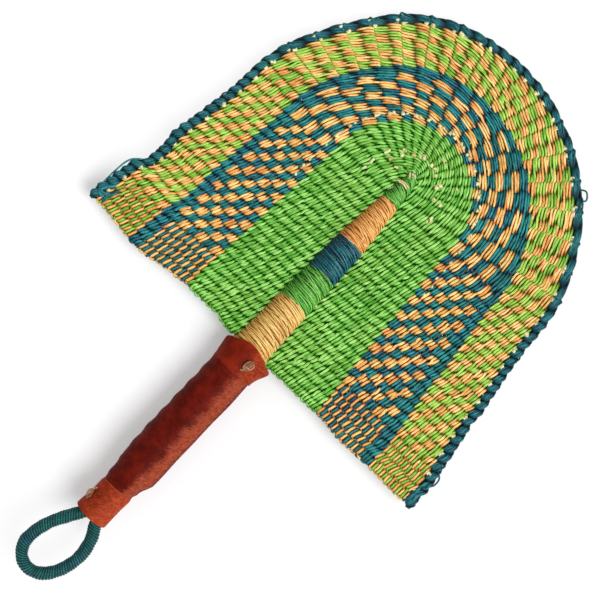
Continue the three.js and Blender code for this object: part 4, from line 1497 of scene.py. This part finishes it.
def sleeve_relief(angle, y):
    """Scallops on the left, slanting folds on the right, a lap seam underneath and slow waves.

    A fold is a sine wave with its own depth, slant, pitch and start. Towards the wrist the left side
    thins sooner than the bundle does, and the right side later.
    """
    left = smooth((-np.cos(angle) - 0.2) / 0.8)
    scallop = SCALLOP_DEPTH * np.cos(2 * np.pi * (y + 3) / SCALLOP_PITCH) * left
    right = np.exp(-(degrees_from(angle, FOLD_SIDE) / FOLD_SPREAD) ** 2)
    arc = angle * GRIP_RADIUS
    folds = right * sum(
        depth * np.sin(2 * np.pi * (y + slant * arc) / pitch + start)
        for depth, slant, pitch, start in FOLDS
    )
    waves = 0.14 * np.sin(y / 5.1 + 2 * np.cos(angle)) + 0.12 * np.sin(y / 8.3 + 3 * angle)
    seam = degrees_from(angle, SEAM_SIDE)
    lap = SEAM_LAP * smooth((seam + SEAM_WIDTH) / SEAM_WIDTH) * (1 - smooth(seam / 3))
    lap = lap * (np.abs(seam) < SEAM_WIDTH)
    narrowing = 0.7 * smooth((-110 - y) / 6) - 1.6 * np.exp(-((y + 104) / 4.5) ** 2)
    leaving = smooth(-np.cos(angle)) * narrowing
    arriving = 0.8 * smooth(np.cos(angle)) * smooth((-111 - y) / 4)
    return scallop + folds + waves + lap + leaving + arriving


def sleeve_wear_and_highlight(angle, y):
    """A paler band on the upper right with a wavy left edge, partly wear and partly a painted highlight, and
    paler towards the upper collar except on the left.
    """
    degrees = degrees_from(angle, 0)
    wavy = 4 * np.sin(y / 6.1) + 3 * np.sin(y / 2.1 + 1)
    band = smooth((92 + wavy - degrees) / 40) * (0.55 + 0.45 * smooth((degrees - 14) / 22))
    return np.maximum(band, 0.5 * smooth((y + 40) / 20) * smooth((100 - degrees) / 30))


sleeve = leather_shell(
    SLEEVE_ENDS, SLEEVE_OFFSET, SLEEVE_THICKNESS, SLEEVE_COUNTS, sleeve_relief, sleeve_wear_and_highlight
)
make_piece("grip_leather", [sleeve], brown_leather, replaced=("leather_sleeve",))


# %% [markdown]
# The collars are the same kind of shell in a redder leather, over both ends of the sleeve. The upper
# one's edge arches over the front and has an ear at each side. The lower one is the mouth that the
# hanging loop comes out of.

# %% Collars
COLLAR_OFFSET = 1.55
COLLAR_THICKNESS = 0.9
TOP_COLLAR_ENDS = (-17.2, -3.4)
TOP_COLLAR_COUNTS = (60, 128)
LOW_COLLAR_ENDS = (-142.3, -119.6)
LOW_COLLAR_COUNTS = (80, 128)


def top_collar_relief(angle, y):
    """Thin at its lower edge, where it lies down on the sleeve, with shallow waves."""
    settle = -0.75 * (1 - smooth((y + 17.4) / 6))
    return settle + (0.16 * np.sin(y / 2.9 + 2 * angle) + 0.14 * np.sin(3 * angle + 1))


# Painted light: the collar is paler on its right side, as if lit from there.
def top_collar_painted_light(angle, _):
    return 0.05 + 0.65 * smooth((np.cos(angle) + 0.1) / 0.6)


def top_collar_edge(angle, y):
    """The upper edge arches over the front and back, and both corners flare out as ears."""
    share = smooth((y + 14) / 11)
    side = np.cos(angle)
    ear = np.maximum(0, np.abs(side) - 0.62) / 0.38
    aside = np.where(side > 0, 4.2, -2.0) * ear**1.5 * share
    ahead = (6.6 * np.sin(angle) ** 2 - 0.3) * share
    return aside, ahead


def low_collar_relief(angle, y):
    """Thin at its upper edge, where it lies down on the sleeve, with shallow waves."""
    settle = -0.5 * smooth((y + 122) / 3)
    return settle + (0.14 * np.sin(y / 3.3 + 2 * angle) + 0.12 * np.sin(2 * angle + 0.5))


# Paler all round in its own tone, and paler still on the right, painted as if lit from there.
def low_collar_tone_and_painted_light(angle, _):
    return 0.62 + 0.28 * smooth((np.cos(angle) + 0.5) / 1.2)


def low_collar_edge(angle, y):
    """The mouth bulges a little at its middle and flares on the left."""
    mouth = smooth((-132 - y) / 11)
    aside = -0.7 * mouth * smooth(-np.cos(angle))
    ahead = -1.3 * mouth * np.abs(np.sin(angle)) + 0.5 * (1 - mouth) * np.cos(angle)
    return aside, ahead


top_collar = leather_shell(
    TOP_COLLAR_ENDS, COLLAR_OFFSET, COLLAR_THICKNESS, TOP_COLLAR_COUNTS,
    top_collar_relief, top_collar_painted_light, top_collar_edge,
)
low_collar = leather_shell(
    LOW_COLLAR_ENDS, COLLAR_OFFSET, COLLAR_THICKNESS, LOW_COLLAR_COUNTS,
    low_collar_relief, low_collar_tone_and_painted_light, low_collar_edge,
)
make_piece("top_collar_leather", [top_collar], red_leather, replaced=("top_collar",))
make_piece("low_collar_leather", [low_collar], red_leather, replaced=("lower_collar",))

# %% [markdown]
# Two stitches of straw hold the collars. Each ends in a small flat knot on the leather: a few strands
# side by side, one across them, and loose ends. Their strands are short smooth curves through a few
# points on the leather, given across and along the handle and out from it, each with its thickness.

# %% Straw knots
knot_straw = straw_material("knot_straw", (56, 20, 8), (152, 100, 70), (200, 156, 120), (128, 78, 50), 0.6)


LEATHER_TOP = 2.5
KNOT_SEAT = 2.55
KNOT_STRAW_HALF = 0.92
TOP_KNOT_PLACE = (5.9, -8.1)
LOW_KNOT_PLACE = (-10.5, -131.0)


def knot_strands(place, strands):
    """Curves through points (across, along, out) round a place on the front of the leather."""
    x, y = place
    wide, tall, shift = bundle_section(y)
    angle = np.arccos(np.clip((x - shift) / (wide + LEATHER_TOP), -1, 1))
    across = np.array([np.sin(angle), 0, -np.cos(angle)])
    along = np.array([0.0, 1.0, 0.0])
    out = np.array([np.cos(angle), 0, np.sin(angle)])
    seat = np.array([shift + (wide + KNOT_SEAT) * np.cos(angle), y, (tall + KNOT_SEAT) * np.sin(angle)])
    sets = []
    for points, thickness in strands:
        points = np.array(points, dtype=float)
        points = seat + points[:, :1] * across + points[:, 1:2] * along + points[:, 2:] * out
        sets.append(straw_curve(
            points, between=8, steps=20, out=out, wide=KNOT_STRAW_HALF * thickness,
            thick=KNOT_STRAW_HALF * 0.8, thin=0.45, power=4, shade=randoms.uniform(0, 1),
        ))
    return sets


TOP_KNOT = (
    (((0.2, 3.6, 0.1), (-1.6, 2.2, 0.9), (-2.5, 0.0, 1.0), (-2.2, -2.2, 0.8), (-0.9, -3.8, 0.0)), 1.0),
    (((0.9, 3.8, 0.1), (-0.3, 2.2, 1.2), (-0.9, 0.0, 1.4), (-0.7, -2.2, 1.1), (0.2, -3.8, 0.1)), 1.1),
    (((1.7, 3.5, 0.1), (1.1, 2.0, 1.2), (0.7, 0.0, 1.4), (0.8, -2.0, 1.1), (1.0, -3.6, 0.1)), 1.0),
    (((1.9, 3.2, 0.1), (2.7, 1.8, 0.9), (2.7, 0.2, 0.9), (2.0, -1.6, 0.6), (1.3, -2.8, 0.0)), 0.8),
    (((-2.6, -1.9, 0.4), (-1.0, -1.3, 1.9), (0.8, -1.2, 1.9), (2.2, -1.6, 0.6)), 0.9),
    (((-0.6, -3.0, 0.6), (-1.4, -4.4, 0.6), (-2.6, -5.0, 0.2)), 0.7),
)
LOW_KNOT = (
    (((-1.0, 1.6, 0.6), (0.6, 2.2, 0.9), (1.5, 3.4, 0.9), (2.1, 4.4, 0.6)), 0.7),
    (((-1.4, 1.8, 0.4), (0.9, 1.6, 1.0), (1.7, 0.2, 1.0), (2.0, -1.3, 0.5)), 0.9),
    (((1.9, -1.2, 0.4), (2.5, -2.5, 0.7), (1.7, -4.0, 0.8), (0.8, -5.4, 0.6)), 0.7),
    (((-1.8, 1.2, 0.2), (-2.4, -0.8, 0.9), (-1.6, -2.8, 0.9), (-0.4, -4.0, 0.1)), 1.2),
    (((-0.6, 1.4, 0.4), (-0.2, -0.4, 1.4), (-0.8, -2.2, 1.2), (-1.9, -3.4, 0.2)), 1.2),
    (((0.6, 0.9, 0.4), (0.7, -0.9, 1.2), (0.2, -2.6, 0.8), (0.4, -3.6, 0.1)), 1.0),
)
top_knot = knot_strands(TOP_KNOT_PLACE, TOP_KNOT)
make_piece("top_knot_straw", top_knot, knot_straw, replaced=("top_knot",))
low_knot = knot_strands(LOW_KNOT_PLACE, LOW_KNOT)
make_piece("low_knot_straw", low_knot, knot_straw, replaced=("lower_knot",))

# %% [markdown]
# The floor is a plain pale sheet. The fan rests on the top collar's underside and on the rim at its
# crown, so the floor is tilted to touch both, and the shadow grows from the crown to the handle as in
# the photograph. The light is soft: an even sky and one wide sun from the handle's right. Beside the
# blade and the loop the photograph shows hardly any shadow, so the sheet glows white there.

# %% Floor and light
REST_LOW = (-17.0, -14.95)
REST_CROWN = (243.0, -3.4)
FLOOR_SIZE = 4000.0
HANDLE_GLOW = 0.25
OUTER_GLOW = 0.85
BLADE_FADE = (0.0, 35.0)
LOOP_FADE = (-165.0, -138.0)
WHITE = (1, 1, 1, 1)
SKY_STRENGTH = 0.56
SUN_STRENGTH = 2.35
SUN_SIZE = 34
SUN_TILT = 34
SUN_TURN = 6


def make_floor():
    """A square sheet through both places that the fan rests on, given as y and z."""
    slope = (REST_CROWN[1] - REST_LOW[1]) / (REST_CROWN[0] - REST_LOW[0])
    half = FLOOR_SIZE / 2
    ends = [(y, REST_LOW[1] + slope * (y - REST_LOW[0])) for y in (-half, half)]
    corners = [(-half, *ends[0]), (half, *ends[0]), (half, *ends[1]), (-half, *ends[1])]
    mesh = bpy.data.meshes.new("floor")
    mesh.from_pydata([tuple(point) for point in on_frame(corners)], [], [(0, 1, 2, 3)])
    floor = bpy.data.objects.new("floor", mesh)
    bpy.context.scene.collection.objects.link(floor)
    return floor


def seen_directly(tree):
    """1 for rays that show the background itself: straight from the camera, by gloss or through glass."""
    path = tree.nodes.new("ShaderNodeLightPath").outputs
    either = calculate(tree, "MAXIMUM", path["Is Camera Ray"], path["Is Glossy Ray"])
    return calculate(tree, "MAXIMUM", either, path["Is Transmission Ray"])


def pale_floor_material():
    """Matt and nearly white. A share of it glows for the camera, more beside the blade and the loop."""
    material = bpy.data.materials.new("pale_floor")
    tree = emptied(material)
    matt = add_node(tree, "ShaderNodeBsdfDiffuse", {"Color": (0.95, 0.95, 0.96, 1)}).outputs[0]
    white = add_node(tree, "ShaderNodeEmission", {"Color": WHITE, "Strength": 1.0}).outputs[0]
    along = add_node(tree, "ShaderNodeSeparateXYZ", {0: object_place(tree)}).outputs["Y"]
    blade, loop = ([on_frame((0, y, 0))[1] for y in fade] for fade in (BLADE_FADE, LOOP_FADE))
    at_blade = ramp(tree, along, *blade, HANDLE_GLOW, OUTER_GLOW)
    at_loop = ramp(tree, along, *loop, OUTER_GLOW, HANDLE_GLOW)
    glow = calculate(tree, "MAXIMUM", at_blade, at_loop)
    share = calculate(tree, "MULTIPLY", seen_directly(tree), glow)
    show(tree, add_node(tree, "ShaderNodeMixShader", {0: share, 1: matt, 2: white}))
    return material


def pale_world():
    """An even sky that lights the fan with one strength and looks white."""
    world = bpy.data.worlds.new("pale_world")
    tree = emptied(world)
    sky, white = (
        add_node(tree, "ShaderNodeBackground", {"Color": WHITE, "Strength": strength}).outputs[0]
        for strength in (SKY_STRENGTH, 1.0)
    )
    mixed = add_node(tree, "ShaderNodeMixShader", {0: seen_directly(tree), 1: sky, 2: white})
    show(tree, mixed, "ShaderNodeOutputWorld")
    bpy.context.scene.world = world


def wide_sun():
    light = bpy.data.lights.new("sun", "SUN")
    light.energy = SUN_STRENGTH
    light.angle = np.radians(SUN_SIZE)
    lamp = bpy.data.objects.new("sun", light)
    lamp.rotation_euler = (0, np.radians(SUN_TILT), np.radians(SUN_TURN))
    bpy.context.scene.collection.objects.link(lamp)


make_floor().data.materials.append(pale_floor_material())
pale_world()
wide_sun()
print("floor at z", REST_LOW[1], "mm under the upper collar and", REST_CROWN[1], "mm under the crown")
